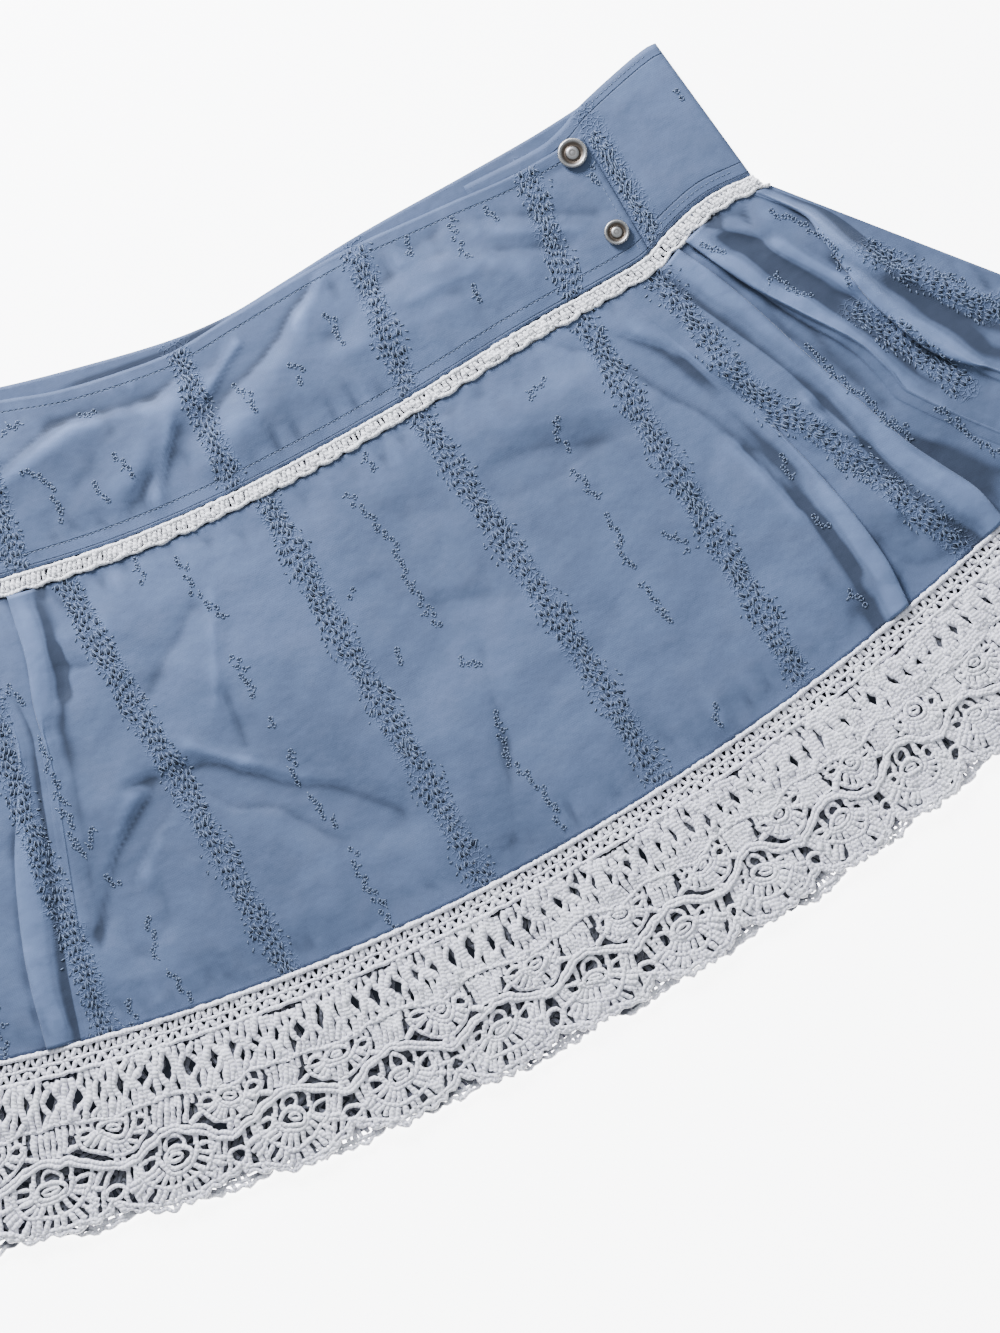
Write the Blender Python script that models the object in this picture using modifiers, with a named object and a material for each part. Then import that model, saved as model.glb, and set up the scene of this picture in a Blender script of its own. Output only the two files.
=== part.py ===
"""Eyelet skirt, laid flat and face up: a pleated cotton skirt on a hip yoke that wraps over at the
right side, with a narrow crochet edging in the yoke seam and a deep crochet lace hem.

Every panel is its own solid. The back lies on the floor, the front lies on the back. X runs along the
hem to the right, Y runs from the hem to the waist and Z is up. Sizes are millimetres until the points
are placed, and the waist is laid in a smile as the skirt curls on the table.
"""
import math
from collections import namedtuple

import bmesh
import bpy

MM = 0.001

# The sewing lines are measured from the yoke seam at centre front, this far above the footprint's middle
SEWING_ORIGIN_Y = 95.5

# Half the width of the laid skirt at each level
WAIST_HALF = 212.0
SEAM_HALF = 223.0
SKIRT_TOP_HALF = 229.0
LACE_TOP_HALF = 365.0
LACE_BOTTOM_HALF = 421.0

# Thickness of each wall, and the gap that parts two pieces
CLOTH = 1.0
CROCHET = 1.6
EDGING = 2.0
EDGING_PRESSED = 1.0
GAP = 0.3
SEAM_GAP = 0.5
EDGING_DEPTH = 7.3
EDGING_SCALLOP = 13.0
EDGING_SCALLOP_DEPTH = 0.9
# Part of the skirt's flare that the edging's lower side follows
EDGING_FLARE = 0.9

# Height of the middle of each wall over the floor
BACK_LEVEL = CLOTH / 2
FRONT_LEVEL = CLOTH + GAP + CLOTH / 2
SKIRT_LEVEL = FRONT_LEVEL + GAP
WRAP_LEVEL = FRONT_LEVEL + CLOTH + GAP

# The front yoke wraps over the side yoke, which starts under it
WRAP_EDGE_TOP = 159.5
WRAP_EDGE_BOTTOM = 162.5
SIDE_YOKE_START = 98.6
WRAP_RISE_START = 72.0
WRAP_RISE_END = 95.0

# Stations along each edge, as x and y from the sewing origin
WAIST_BACK = ((-212, 119), (-143, 99), (-108, 90.4), (-61, 80.8), (-30, 78.2), (0, 80), (45, 83.2), (104, 84.6),
              (149, 86.4), (212, 93))
WAIST_FRONT = ((-212, 114), (-147, 93.6), (-119, 84.4), (-85, 77.8), (-61, 75.2), (-30, 77), (29, 79.6), (81, 76.6),
               (121, 73.6), (163, 75))
WAIST_SIDE = ((98, 80), (140, 79.6), (154, 83), (164, 87.5), (194, 95.4), (207, 97.8), (212, 97.6))
SEAM_FRONT = ((-223, 25.5), (-186, 18), (-132, 8), (-82, 3.1), (-30, 1.8), (29, 3.2), (89, 6.9), (149, 8.4),
              (161, 9.8), (171, 14), (186, 18.7), (201, 21.4), (223, 20.4))
SEAM_BACK = ((-223, 24), (-120, 7), (-30, 1.4), (60, 4), (140, 9), (223, 20))

# The lace seam and the hem are each two arcs that meet at their lowest point
Arcs = namedtuple("Arcs", "low_x low_y left_radius right_radius")
LACE_TOP = Arcs(-34.0, -222.0, 984.0, 1080.0)
LACE_BOTTOM = Arcs(-53.0, -308.5, 1032.0, 1176.0)

# Pleats of the front skirt. Facing 1 is an edge that looks right. Each row is a place down the skirt:
# down and across are fractions, overlap is how far the cloth tucks back under the edge (negative where
# the pleat has opened to a ridge), lift is the height of the upper layer and ramp its rise
Pleat = namedtuple("Pleat", "name facing rows")
Row = namedtuple("Row", "down across overlap lift ramp")
PLEATS = (
    Pleat("left roll", 1, (
        Row(0.00, -0.965, -2.0, 1.0, 4.0), Row(0.13, -0.955, 1.0, 3.0, 6.0), Row(0.22, -0.925, 4.0, 4.2, 9.0),
        Row(0.38, -0.875, 6.0, 4.8, 10.0), Row(0.60, -0.850, 5.0, 4.4, 10.0), Row(0.72, -0.860, -3.0, 2.0, 9.0),
        Row(1.00, -0.870, -5.0, 0.3, 8.0))),
    Pleat("left deep pleat", -1, (
        Row(0.00, -0.900, -3.0, 0.5, 5.0), Row(0.20, -0.830, -3.0, 0.6, 5.0), Row(0.33, -0.788, -1.0, 2.2, 6.0),
        Row(0.46, -0.786, 4.0, 3.4, 6.0), Row(0.58, -0.788, 8.0, 4.0, 7.0), Row(0.79, -0.772, 8.0, 4.0, 8.0),
        Row(1.00, -0.743, 6.0, 3.2, 8.0))),
    Pleat("left first pleat", -1, (
        Row(0.00, -0.815, 7.0, 3.2, 7.0), Row(0.14, -0.774, 7.0, 3.6, 8.0), Row(0.26, -0.757, 4.0, 3.2, 8.0),
        Row(0.36, -0.736, -2.0, 2.2, 8.0), Row(0.50, -0.718, -3.0, 1.2, 8.0), Row(1.00, -0.680, -4.0, 0.3, 8.0))),
    Pleat("right hem pleat", 1, (
        Row(0.00, 0.620, -3.0, 0.3, 7.0), Row(0.35, 0.605, -3.0, 0.4, 7.0), Row(0.47, 0.599, -1.0, 2.0, 7.0),
        Row(0.60, 0.589, 2.0, 3.0, 8.0), Row(0.75, 0.573, 5.0, 3.6, 8.0), Row(0.88, 0.555, 8.0, 4.6, 8.0),
        Row(1.00, 0.529, 7.0, 4.0, 8.0))),
    Pleat("right long pleat", 1, (
        Row(0.00, 0.765, 6.0, 3.4, 8.0), Row(0.11, 0.760, 6.0, 3.6, 8.0), Row(0.20, 0.752, 5.0, 3.2, 8.0),
        Row(0.38, 0.732, 2.0, 2.8, 8.0), Row(0.60, 0.712, 3.0, 3.0, 8.0), Row(0.70, 0.705, 5.0, 3.6, 9.0),
        Row(0.80, 0.705, 8.0, 4.6, 10.0), Row(0.90, 0.705, 9.0, 5.2, 10.0), Row(1.00, 0.692, 7.0, 4.0, 9.0))),
    Pleat("right ridge", -1, (
        Row(0.00, 0.787, 5.0, 4.0, 8.0), Row(0.11, 0.779, 4.0, 5.0, 9.0), Row(0.20, 0.777, 1.0, 5.0, 9.0),
        Row(0.30, 0.782, -2.0, 4.6, 9.0), Row(0.46, 0.789, -4.0, 3.6, 8.0), Row(0.56, 0.777, -5.0, 2.2, 8.0),
        Row(0.62, 0.766, -5.0, 1.0, 8.0), Row(1.00, 0.800, -5.0, 0.3, 8.0))),
    Pleat("right roll", -1, (
        Row(0.00, 0.965, -2.0, 1.0, 4.0), Row(0.13, 0.958, 1.0, 3.0, 6.0), Row(0.22, 0.921, 4.0, 4.6, 9.0),
        Row(0.38, 0.867, 7.0, 5.4, 10.0), Row(0.48, 0.848, 7.0, 5.6, 10.0), Row(0.59, 0.837, 6.0, 5.2, 10.0),
        Row(0.67, 0.845, 2.0, 3.6, 9.0), Row(0.72, 0.856, -3.0, 2.0, 8.0), Row(1.00, 0.880, -5.0, 0.3, 8.0))),
)
# Plain columns of the section before each pleat, and after the last one
PLAIN_COLUMNS = (3, 3, 2, 18, 4, 1, 2, 3)
SKIRT_ROWS = (0.0, 0.07, 0.15, 0.25, 0.36, 0.48, 0.6, 0.72, 0.84, 0.93, 1.0)
PLEAT_NOSE = 0.55
PLEAT_CLEARANCE = 1.6

# Broad soft ridges and troughs of the front, as a line from one end to the other, its width and its height
Crease = namedtuple("Crease", "x1 y1 x2 y2 width height")
SKIRT_CREASES = (
    Crease(128, -26, 190, -123, 13, -1.8),
    Crease(95, -30, 150, -120, 22, 1.6),
    Crease(-170, -112, -205, -165, 14, -2.0),
    Crease(-185, -100, -150, -95, 13, 1.8),
    Crease(-143, -104, -84, -166, 16, -1.4),
    Crease(-120, -60, -60, -140, 22, 1.5),
    Crease(20, -48, 85, -62, 18, -1.4),
    Crease(-20, -150, 40, -110, 20, 1.4),
    Crease(60, -190, 120, -150, 20, -1.2),
    Crease(210, -150, 235, -185, 12, 1.6),
    Crease(300, -130, 330, -110, 16, 2.0),
    Crease(-320, -150, -300, -110, 16, 2.0),
)
YOKE_CREASES = (
    Crease(-115, 10, -20, 62, 12, -1.4),
    Crease(-135, 14, -75, 52, 10, 1.6),
    Crease(-60, 20, 10, 66, 14, 1.3),
    Crease(-205, 60, -130, 66, 12, 1.2),
    Crease(60, 50, 110, 30, 14, 0.9),
)
# Rise of the loose cloth between the creases, and how far in from a sewn edge it takes
BILLOW = 1.6
BILLOW_EDGE = 30.0
# Length and width of the panels that the rise is measured on
YOKE_DEPTH = 76.0
YOKE_WIDTH = 370.0
SKIRT_DEPTH = 220.0
# The front yoke lies flat from here to the snaps
FLAT_START = 100.0
FLAT_REACH = 25.0

# One lace repeat hangs under each fan. The repeats narrow from left to right as the lace is eased in
FANS = 17
FIRST_FAN = -0.973
FIRST_PITCH = 0.1568
PITCH_STEP = 0.0057
LAST_PITCH = 0.0940
PICOTS = 5
PICOT_DEPTH = 2.2
FAN_INDENT = 7.5
FAN_ROUNDNESS = 2.6
# Straight lines of the lace's top edge, and where its ends turn the corner to the fans
LACE_TOP_STEPS = 34
LACE_END = 0.93
# Clear of the lace's ends by this much: a picot and a hole
PICOT_MARGIN = 3.0
HOLE_MARGIN = 8.0
# Pitch, across, that the openings are drawn for: narrower repeats squeeze them
HOLE_PITCH = 0.125

# Openings of one repeat: across the repeat and down the lace as fractions, width and height, and sides
Hole = namedtuple("Hole", "across down width height sides")
WINDOWS = tuple(Hole((n + 0.5) / 5, 0.285 + 0.02 * (n % 2), 4.9, 13.5, 4) for n in range(5))
ROUND_HOLES = (
    Hole(0.5, 0.665, 6.6, 6.2, 6),
    Hole(0.24, 0.725, 6.8, 4.8, 6),
    Hole(0.76, 0.725, 6.8, 4.8, 6),
    Hole(0.0, 0.83, 6.4, 6.0, 6),
)
BACK_WINDOWS = tuple(Hole((n + 0.5) / 4, 0.285 + 0.02 * (n % 2), 5.2, 13.5, 4) for n in range(4))
# The back panel's repeats lie this part of a repeat along, and a little lower
BACK_SHIFT = 0.37
BACK_DROP = 1.5

# Snap caps: middle of each cap and its radius
Snap = namedtuple("Snap", "name x y radius")
SNAPS = (Snap("snap_upper", 152.0, 69.2, 7.2), Snap("snap_lower", 153.0, 25.8, 6.1))
# Profile of a cap from its middle out and down, as parts of the radius and heights
SNAP_PROFILE = ((0.0, 2.6), (0.2, 2.5), (0.42, 2.1), (0.5, 1.3), (0.58, 1.4), (0.78, 2.0), (0.9, 2.5), (1.0, 1.7),
                (0.97, 0.0), (0.0, 0.0))
SNAP_STEPS = 20

# Colour, roughness and metallic value of each material
Finish = namedtuple("Finish", "colour roughness metallic")
CLOTH_FINISH = Finish((0.195, 0.290, 0.470), 0.72, 0.0)
LACE_FINISH = Finish((0.610, 0.605, 0.680), 0.85, 0.0)
EDGING_FINISH = Finish((0.700, 0.680, 0.720), 0.85, 0.0)
SNAP_FINISH = Finish((0.250, 0.230, 0.210), 0.38, 1.0)


def clear_scene():
    for thing in list(bpy.data.objects):
        bpy.data.objects.remove(thing, do_unlink=True)


def make_collection(name):
    collection = bpy.data.collections.new(name)
    bpy.context.scene.collection.children.link(collection)
    return collection


def make_material(name, finish):
    material = bpy.data.materials.new(name)
    material.use_nodes = True
    shader = material.node_tree.nodes["Principled BSDF"]
    shader.inputs["Base Color"].default_value = (*finish.colour, 1.0)
    shader.inputs["Roughness"].default_value = finish.roughness
    shader.inputs["Metallic"].default_value = finish.metallic
    return material


def mix(a, b, part):
    return a + (b - a) * part


def along(stations, x):
    """Height of a smooth line through the stations at x."""
    n = 0
    while n < len(stations) - 2 and x > stations[n + 1][0]:
        n += 1
    (x0, y0), (x1, y1) = stations[n], stations[n + 1]
    before = stations[n - 1] if n else (2 * x0 - x1, 2 * y0 - y1)
    after = stations[n + 2] if n + 2 < len(stations) else (2 * x1 - x0, 2 * y1 - y0)
    part = (x - x0) / (x1 - x0)
    slope0 = (y1 - before[1]) / (x1 - before[0]) * (x1 - x0)
    slope1 = (after[1] - y0) / (after[0] - x0) * (x1 - x0)
    cube, square = part ** 3, part ** 2
    return ((2 * cube - 3 * square + 1) * y0 + (cube - 2 * square + part) * slope0
            + (3 * square - 2 * cube) * y1 + (cube - square) * slope1)


def arc_height(arcs, x):
    radius = arcs.right_radius if x > arcs.low_x else arcs.left_radius
    return arcs.low_y + radius - math.sqrt(radius ** 2 - (x - arcs.low_x) ** 2)


def yoke_front_point(x_part, down):
    """Point of the front yoke, from its left side to the wrap edge and from the waist to the seam."""
    top_x = mix(-WAIST_HALF, WRAP_EDGE_TOP, x_part)
    low_x = mix(-SEAM_HALF, WRAP_EDGE_BOTTOM, x_part)
    return mix(top_x, low_x, down), mix(along(WAIST_FRONT, top_x), along(SEAM_FRONT, low_x), down)


def yoke_side_point(x_part, down):
    top_x = mix(SIDE_YOKE_START, WAIST_HALF, x_part)
    low_x = mix(SIDE_YOKE_START, SEAM_HALF, x_part)
    return mix(top_x, low_x, down), mix(along(WAIST_SIDE, top_x), along(SEAM_FRONT, low_x), down)


def yoke_back_point(x_part, down):
    top_x = mix(-WAIST_HALF, WAIST_HALF, x_part)
    low_x = mix(-SEAM_HALF, SEAM_HALF, x_part)
    return mix(top_x, low_x, down), mix(along(WAIST_BACK, top_x), along(SEAM_BACK, low_x), down)


def skirt_half(down):
    return mix(SKIRT_TOP_HALF, LACE_TOP_HALF, down)


def skirt_point(seam, across, down):
    """Point of a skirt panel, across from -1 at the left side to 1 at the right and down from the edging."""
    top_y = along(seam, SEAM_HALF * across) - SEAM_GAP - EDGING_DEPTH - EDGING_SCALLOP_DEPTH - GAP
    low_y = arc_height(LACE_TOP, LACE_TOP_HALF * across) + GAP
    return skirt_half(down) * across, mix(top_y, low_y, down)


def lace_point(across, down):
    top_x, low_x = LACE_TOP_HALF * across, LACE_BOTTOM_HALF * across
    return mix(top_x, low_x, down), mix(arc_height(LACE_TOP, top_x), arc_height(LACE_BOTTOM, low_x), down)


def smooth(part):
    part = min(max(part, 0.0), 1.0)
    return part * part * (3 - 2 * part)


def crease_height(creases, x, y):
    """Sum of the ridges and troughs at a point, each fading out past its ends and to its sides."""
    total = 0.0
    for crease in creases:
        run_x, run_y = crease.x2 - crease.x1, crease.y2 - crease.y1
        length = math.hypot(run_x, run_y)
        part = ((x - crease.x1) * run_x + (y - crease.y1) * run_y) / length ** 2
        beyond = (part - min(max(part, 0.0), 1.0)) * length
        side = ((y - crease.y1) * run_x - (x - crease.x1) * run_y) / length
        total += crease.height * math.exp(-(side ** 2 + 0.5 * beyond ** 2) / crease.width ** 2)
    return total


def billow(creases, x, y, from_edge):
    """Height of the front over the level where it is sewn down."""
    return max(0.0, BILLOW + crease_height(creases, x, y)) * smooth(from_edge / BILLOW_EDGE)


def pleat_row(pleat, down):
    """The pleat's measures at a place down the skirt."""
    rows = pleat.rows
    n = 0
    while n < len(rows) - 2 and down > rows[n + 1].down:
        n += 1
    part = smooth((down - rows[n].down) / (rows[n + 1].down - rows[n].down))
    return Row(*(mix(a, b, part) for a, b in zip(rows[n], rows[n + 1])))


def pleat_section(pleat, down):
    """Section across a pleat as x and height: up the ramp, over the edge, back under it and out again."""
    row = pleat_row(pleat, down)
    tucked = max(row.overlap, 0.0)
    turn = PLEAT_NOSE * min(max(row.overlap / 2, -1.0), 1.0)
    foot = tucked + PLEAT_CLEARANCE
    section = [
        (-foot - row.ramp, 0.0),
        (-foot, 0.72 * row.lift),
        (-foot / 2, row.lift),
        (-PLEAT_NOSE, 0.97 * row.lift),
        (0.0, 0.75 * row.lift),
        (-turn, 0.53 * row.lift),
        (-row.overlap + turn, 0.47 * row.lift),
        (-row.overlap, 0.25 * row.lift),
        (-row.overlap + PLEAT_NOSE, 0.0),
    ]
    edge = skirt_half(down) * row.across
    section = [(edge + pleat.facing * x, height) for x, height in section]
    return section if pleat.facing > 0 else section[::-1]


def pleat_reach(pleat, down):
    """Leftmost and rightmost x of a pleat's section."""
    xs = [x for x, height in pleat_section(pleat, down)]
    return min(xs), max(xs)


def skirt_section(down):
    """The whole section of the front skirt as x and height, from its left side to its right."""
    half = skirt_half(down)
    section = []
    start = -half
    for n, count in enumerate(PLAIN_COLUMNS):
        last = n == len(PLAIN_COLUMNS) - 1
        end = half if last else pleat_reach(PLEATS[n], down)[0]
        first_step = 0 if n == 0 else 1
        steps = count - 1 + (0 if n == 0 else 1) + (0 if last else 1)
        for step in range(first_step, first_step + count):
            section.append((mix(start, end, step / steps), 0.0))
        if not last:
            section.extend(pleat_section(PLEATS[n], down))
            start = pleat_reach(PLEATS[n], down)[1]
    return section


def panel(name, columns, rows, place, thickness, material, collection):
    """A cloth wall: a grid whose points are placed by column and row, given its thickness."""
    grid = bmesh.new()
    bmesh.ops.create_grid(grid, x_segments=columns - 1, y_segments=rows - 1, size=1.0)
    for vertex in grid.verts:
        column = round((vertex.co.x + 1) / 2 * (columns - 1))
        row = round((1 - vertex.co.y) / 2 * (rows - 1))
        x, y, z = place(column, row)
        vertex.co = (x * MM, (y + SEWING_ORIGIN_Y) * MM, z * MM)
    mesh = bpy.data.meshes.new(name)
    grid.to_mesh(mesh)
    grid.free()
    mesh.shade_smooth()
    mesh.materials.append(material)
    wall = bpy.data.objects.new(name, mesh)
    collection.objects.link(wall)
    solidify = wall.modifiers.new("thickness", "SOLIDIFY")
    solidify.thickness = thickness * MM
    solidify.offset = 0.0
    solidify.use_even_offset = True


def cut_sheet(name, outline, holes, level, thickness, material, collection):
    """A flat sheet with a cut outline and cut holes, lying with its middle at the level."""
    curve = bpy.data.curves.new(name, "CURVE")
    curve.dimensions = "2D"
    curve.fill_mode = "BOTH"
    curve.extrude = thickness / 2 * MM
    for ring in (outline, *holes):
        spline = curve.splines.new("POLY")
        spline.points.add(len(ring) - 1)
        for point, (x, y) in zip(spline.points, ring):
            point.co = (x * MM, (y + SEWING_ORIGIN_Y) * MM, 0.0, 1.0)
        spline.use_cyclic_u = True
    curve.materials.append(material)
    sheet = bpy.data.objects.new(name, curve)
    sheet.location.z = level * MM
    collection.objects.link(sheet)


def make_back_panels(cloth, collection):
    columns, rows = 26, 3

    def yoke(column, row):
        return (*yoke_back_point(column / (columns - 1), row / (rows - 1)), BACK_LEVEL)

    def skirt(column, row):
        return (*skirt_point(SEAM_BACK, 2 * column / (columns - 1) - 1, row / (rows - 1)), BACK_LEVEL)

    panel("yoke_back", columns, rows, yoke, CLOTH, cloth, collection)
    panel("skirt_back", columns, rows, skirt, CLOTH, cloth, collection)


def make_yoke_front(cloth, collection):
    columns, rows = 32, 6

    def place(column, row):
        part = column / (columns - 1)
        down = row / (rows - 1)
        x, y = yoke_front_point(part, down)
        from_edge = min(min(down, 1 - down) * YOKE_DEPTH, min(part, 1 - part) * YOKE_WIDTH)
        loose = 1 - smooth((x - FLAT_START) / FLAT_REACH)
        wrap = smooth((x - WRAP_RISE_START) / (WRAP_RISE_END - WRAP_RISE_START)) * (WRAP_LEVEL - FRONT_LEVEL)
        return x, y, FRONT_LEVEL + wrap + loose * billow(YOKE_CREASES, x, y, from_edge)

    panel("yoke_front", columns, rows, place, CLOTH, cloth, collection)


def make_yoke_side(cloth, collection):
    columns, rows = 14, 3

    def place(column, row):
        return (*yoke_side_point(column / (columns - 1), row / (rows - 1)), FRONT_LEVEL)

    panel("yoke_side", columns, rows, place, CLOTH, cloth, collection)


def make_skirt_front(cloth, collection):
    sections = [skirt_section(down) for down in SKIRT_ROWS]
    columns = len(sections[0])

    def place(column, row):
        x, height = sections[row][column]
        down = SKIRT_ROWS[row]
        half = skirt_half(down)
        x, y = skirt_point(SEAM_FRONT, x / half, down)
        from_edge = min(down * SKIRT_DEPTH, (1 - down) * SKIRT_DEPTH, half - abs(x))
        return x, y, SKIRT_LEVEL + height + billow(SKIRT_CREASES, x, y, from_edge)

    panel("skirt_front", columns, len(SKIRT_ROWS), place, CLOTH, cloth, collection)


def make_edging(name, seam, level, thickness, material, collection):
    """The narrow crochet edging under the yoke: straight above, scalloped below."""
    top, bottom = [], []
    count = round((SEAM_HALF + SKIRT_TOP_HALF) / EDGING_SCALLOP)
    for n in range(2 * count + 1):
        across = n / count - 1
        top.append((SEAM_HALF * across, along(seam, SEAM_HALF * across) - SEAM_GAP))
    for n in range(3 * count + 1):
        across = 2 * n / (3 * count) - 1
        bulge = 0.0 if n % 3 == 0 else EDGING_SCALLOP_DEPTH
        low_y = along(seam, SEAM_HALF * across) - SEAM_GAP - EDGING_DEPTH - bulge
        bottom.append((mix(SEAM_HALF, SKIRT_TOP_HALF, EDGING_FLARE) * across, low_y))
    cut_sheet(name, top + bottom[::-1], (), level, thickness, material, collection)


def fan_bounds():
    """Where each lace repeat starts and ends, as fractions across the lace."""
    bounds = [FIRST_FAN]
    for n in range(FANS):
        bounds.append(bounds[-1] + max(LAST_PITCH, FIRST_PITCH - PITCH_STEP * n))
    return [min(bound, 1.0) for bound in bounds]


def fan_edge(part, extra):
    """How far up the lace's lower edge lies, across one repeat: a round fan with small picots."""
    return FAN_INDENT * abs(2 * part - 1) ** FAN_ROUNDNESS + extra


def hole_ring(hole, start, end, shift):
    across = start + (end - start) * (hole.across + shift)
    x, y = lace_point(across, hole.down)
    if abs(across) > 1 - HOLE_MARGIN / LACE_TOP_HALF:
        return None
    turn = math.pi / hole.sides if hole.sides > 4 else 0.0
    squeeze = min(1.0, (end - start) / HOLE_PITCH)
    return [(x + hole.width * squeeze / 2 * math.cos(turn + 2 * math.pi * n / hole.sides),
             y + hole.height / 2 * math.sin(turn + 2 * math.pi * n / hole.sides)) for n in range(hole.sides)]


def make_lace(name, level, windows, shift, drop, lace, collection):
    """A lace panel: a straight header above, a scalloped edge below and its larger openings cut through."""
    bounds = fan_bounds()
    outline = [lace_point(2 * n / LACE_TOP_STEPS - 1, 0.0) for n in range(LACE_TOP_STEPS + 1)]
    bottom = [lace_point(-1.0, LACE_END)]
    holes = []
    for start, end in zip(bounds, bounds[1:]):
        for n in range(2 * PICOTS):
            part = n / (2 * PICOTS)
            across = start + (end - start) * (part + shift)
            if abs(across) > 1 - PICOT_MARGIN / LACE_BOTTOM_HALF:
                continue
            x, y = lace_point(across, 1.0)
            bottom.append((x, y - drop + fan_edge(part, PICOT_DEPTH * (1 - n % 2))))
        rings = [hole_ring(hole, start, end, shift) for hole in (*windows, *ROUND_HOLES)]
        holes.extend(ring for ring in rings if ring)
    bottom.append(lace_point(1.0, LACE_END))
    cut_sheet(name, outline + bottom[::-1], holes, level, CROCHET, lace, collection)


def make_snap(snap, metal, collection):
    profile = bmesh.new()
    base = WRAP_LEVEL + CLOTH / 2 + GAP
    ring = [profile.verts.new((radius * snap.radius * MM, 0.0, height * MM)) for radius, height in SNAP_PROFILE]
    for one, two in zip(ring, ring[1:]):
        profile.edges.new((one, two))
    mesh = bpy.data.meshes.new(snap.name)
    profile.to_mesh(mesh)
    profile.free()
    cap = bpy.data.objects.new(snap.name, mesh)
    cap.location = (snap.x * MM, (snap.y + SEWING_ORIGIN_Y) * MM, base * MM)
    collection.objects.link(cap)
    screw = cap.modifiers.new("turned", "SCREW")
    screw.steps = SNAP_STEPS
    screw.render_steps = SNAP_STEPS
    screw.use_merge_vertices = True
    screw.merge_threshold = 0.00001
    screw.use_smooth_shade = True
    mesh.materials.append(metal)


def main():
    clear_scene()
    collection = make_collection("eyelet_skirt")
    cloth = make_material("eyelet_cloth", CLOTH_FINISH)
    lace = make_material("crochet_lace", LACE_FINISH)
    edging = make_material("crochet_edging", EDGING_FINISH)
    metal = make_material("snap_metal", SNAP_FINISH)
    make_back_panels(cloth, collection)
    make_edging("edging_back", SEAM_BACK, EDGING_PRESSED / 2, EDGING_PRESSED, edging, collection)
    make_lace("lace_back", CROCHET / 2, BACK_WINDOWS, BACK_SHIFT, BACK_DROP, lace, collection)
    make_yoke_side(cloth, collection)
    make_yoke_front(cloth, collection)
    make_skirt_front(cloth, collection)
    make_edging("edging_front", SEAM_FRONT, EDGING_PRESSED + GAP + EDGING / 2, EDGING, edging, collection)
    make_lace("lace_front", CROCHET + GAP + CROCHET / 2, WINDOWS, 0.0, 0.0, lace, collection)
    for snap in SNAPS:
        make_snap(snap, metal, collection)


main()
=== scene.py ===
"""Eyelet skirt, laid flat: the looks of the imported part, seen from straight above.

The cloth panels are fine shells on the forms of their solids. The lace and the edging are drawn as yarn,
strand by strand, and the embroidery, the topstitching and the snap caps are made on what carries them.
Sizes are millimetres until points are placed. X runs along the hem, Y from the hem to the waist, Z up.
"""

import math
import random
from collections import namedtuple

import bpy
from mathutils import Euler, Matrix, Vector, noise
from mathutils.bvhtree import BVHTree


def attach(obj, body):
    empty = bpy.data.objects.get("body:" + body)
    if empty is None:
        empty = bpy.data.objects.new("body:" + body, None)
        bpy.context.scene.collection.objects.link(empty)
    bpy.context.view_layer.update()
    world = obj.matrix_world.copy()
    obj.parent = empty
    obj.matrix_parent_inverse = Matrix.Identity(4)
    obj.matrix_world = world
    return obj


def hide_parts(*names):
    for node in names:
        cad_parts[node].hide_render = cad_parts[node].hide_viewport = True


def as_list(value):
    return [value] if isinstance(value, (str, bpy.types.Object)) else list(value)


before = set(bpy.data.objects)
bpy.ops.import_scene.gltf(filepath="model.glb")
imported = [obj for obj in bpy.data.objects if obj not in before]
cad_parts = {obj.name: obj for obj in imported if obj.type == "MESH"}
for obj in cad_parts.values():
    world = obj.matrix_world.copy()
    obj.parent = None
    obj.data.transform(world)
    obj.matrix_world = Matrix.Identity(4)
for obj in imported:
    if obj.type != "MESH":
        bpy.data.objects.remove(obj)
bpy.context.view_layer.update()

bl_info = {
    "name": "Eyelet skirt",
    "version": (1, 0, 0),
    "blender": (4, 5, 0),
    "location": "View3D > Sidebar > Eyelet skirt",
    "description": "A pleated eyelet skirt with a hip yoke and crochet lace, laid flat",
    "category": "Add Mesh",
}

MM = 0.001
BODY = "root"
FLOOR_GLOW = 7.0
# Colour of the patch of painted shade on the floor under the skirt
FLOOR_SHADE = (0.045, 0.051, 0.070)
# Colour of the flat dark discs of painted shade in the slits of the eyelets
SLIT_SHADOW = (0.022, 0.032, 0.056)
# Colour of the shade painted on the yarn
YARN_SHADE = (0.042, 0.046, 0.062)
LAMP_COLOUR = (0.88, 0.91, 1.0)
WORLD_COLOUR = (0.86, 0.93, 1.0, 1.0)
WORLD_STRENGTH = 0.58

# The sewing lines are measured from the yoke seam at centre front, this far above the footprint's middle
SEWING_ORIGIN_Y = 95.5

# Points of each cloth panel's grid, across and down
BACK_GRID = (90, 48)
YOKE_GRID = (190, 44)
SIDE_YOKE_GRID = (50, 30)

# Topstitching: from one stitch to the next, and the length of a stitch
STITCH_PITCH = 2.9
STITCH_LENGTH = 2.3

# Distance of the topstitching from the waist, the yoke seam and the wrap's edge
TOPSTITCH_WAIST = 6.0
TOPSTITCH_SEAM = 7.5
TOPSTITCH_WRAP = 3.4

# Width of the eyelet strips against the usual one
SKIRT_STRIP_WIDTH = 1.15
YOKE_STRIP_WIDTH = 1.05
SIDE_STRIP_WIDTH = 0.6

# Half of the cloth that a strip works on, and how far that fades out
STRIP_HALF = 3.8
STRIP_FADE = 3.4
LINE_SAMPLES = 200

# The painted shade in the cloth's folds and the painted highlight on its ridges go by its hollow
# Grid points round a place that its hollow is measured against, and the drop in millimetres that counts as one
NEAR_REACH = 3
NEAR_DROP = 0.75
FAR_REACH = 8
FAR_DROP = 4.2

# Half the width of the laid skirt at each level
WAIST_HALF = 212.0
SEAM_HALF = 223.0
SKIRT_TOP_HALF = 229.0
LACE_TOP_HALF = 365.0
LACE_BOTTOM_HALF = 421.0

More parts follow.
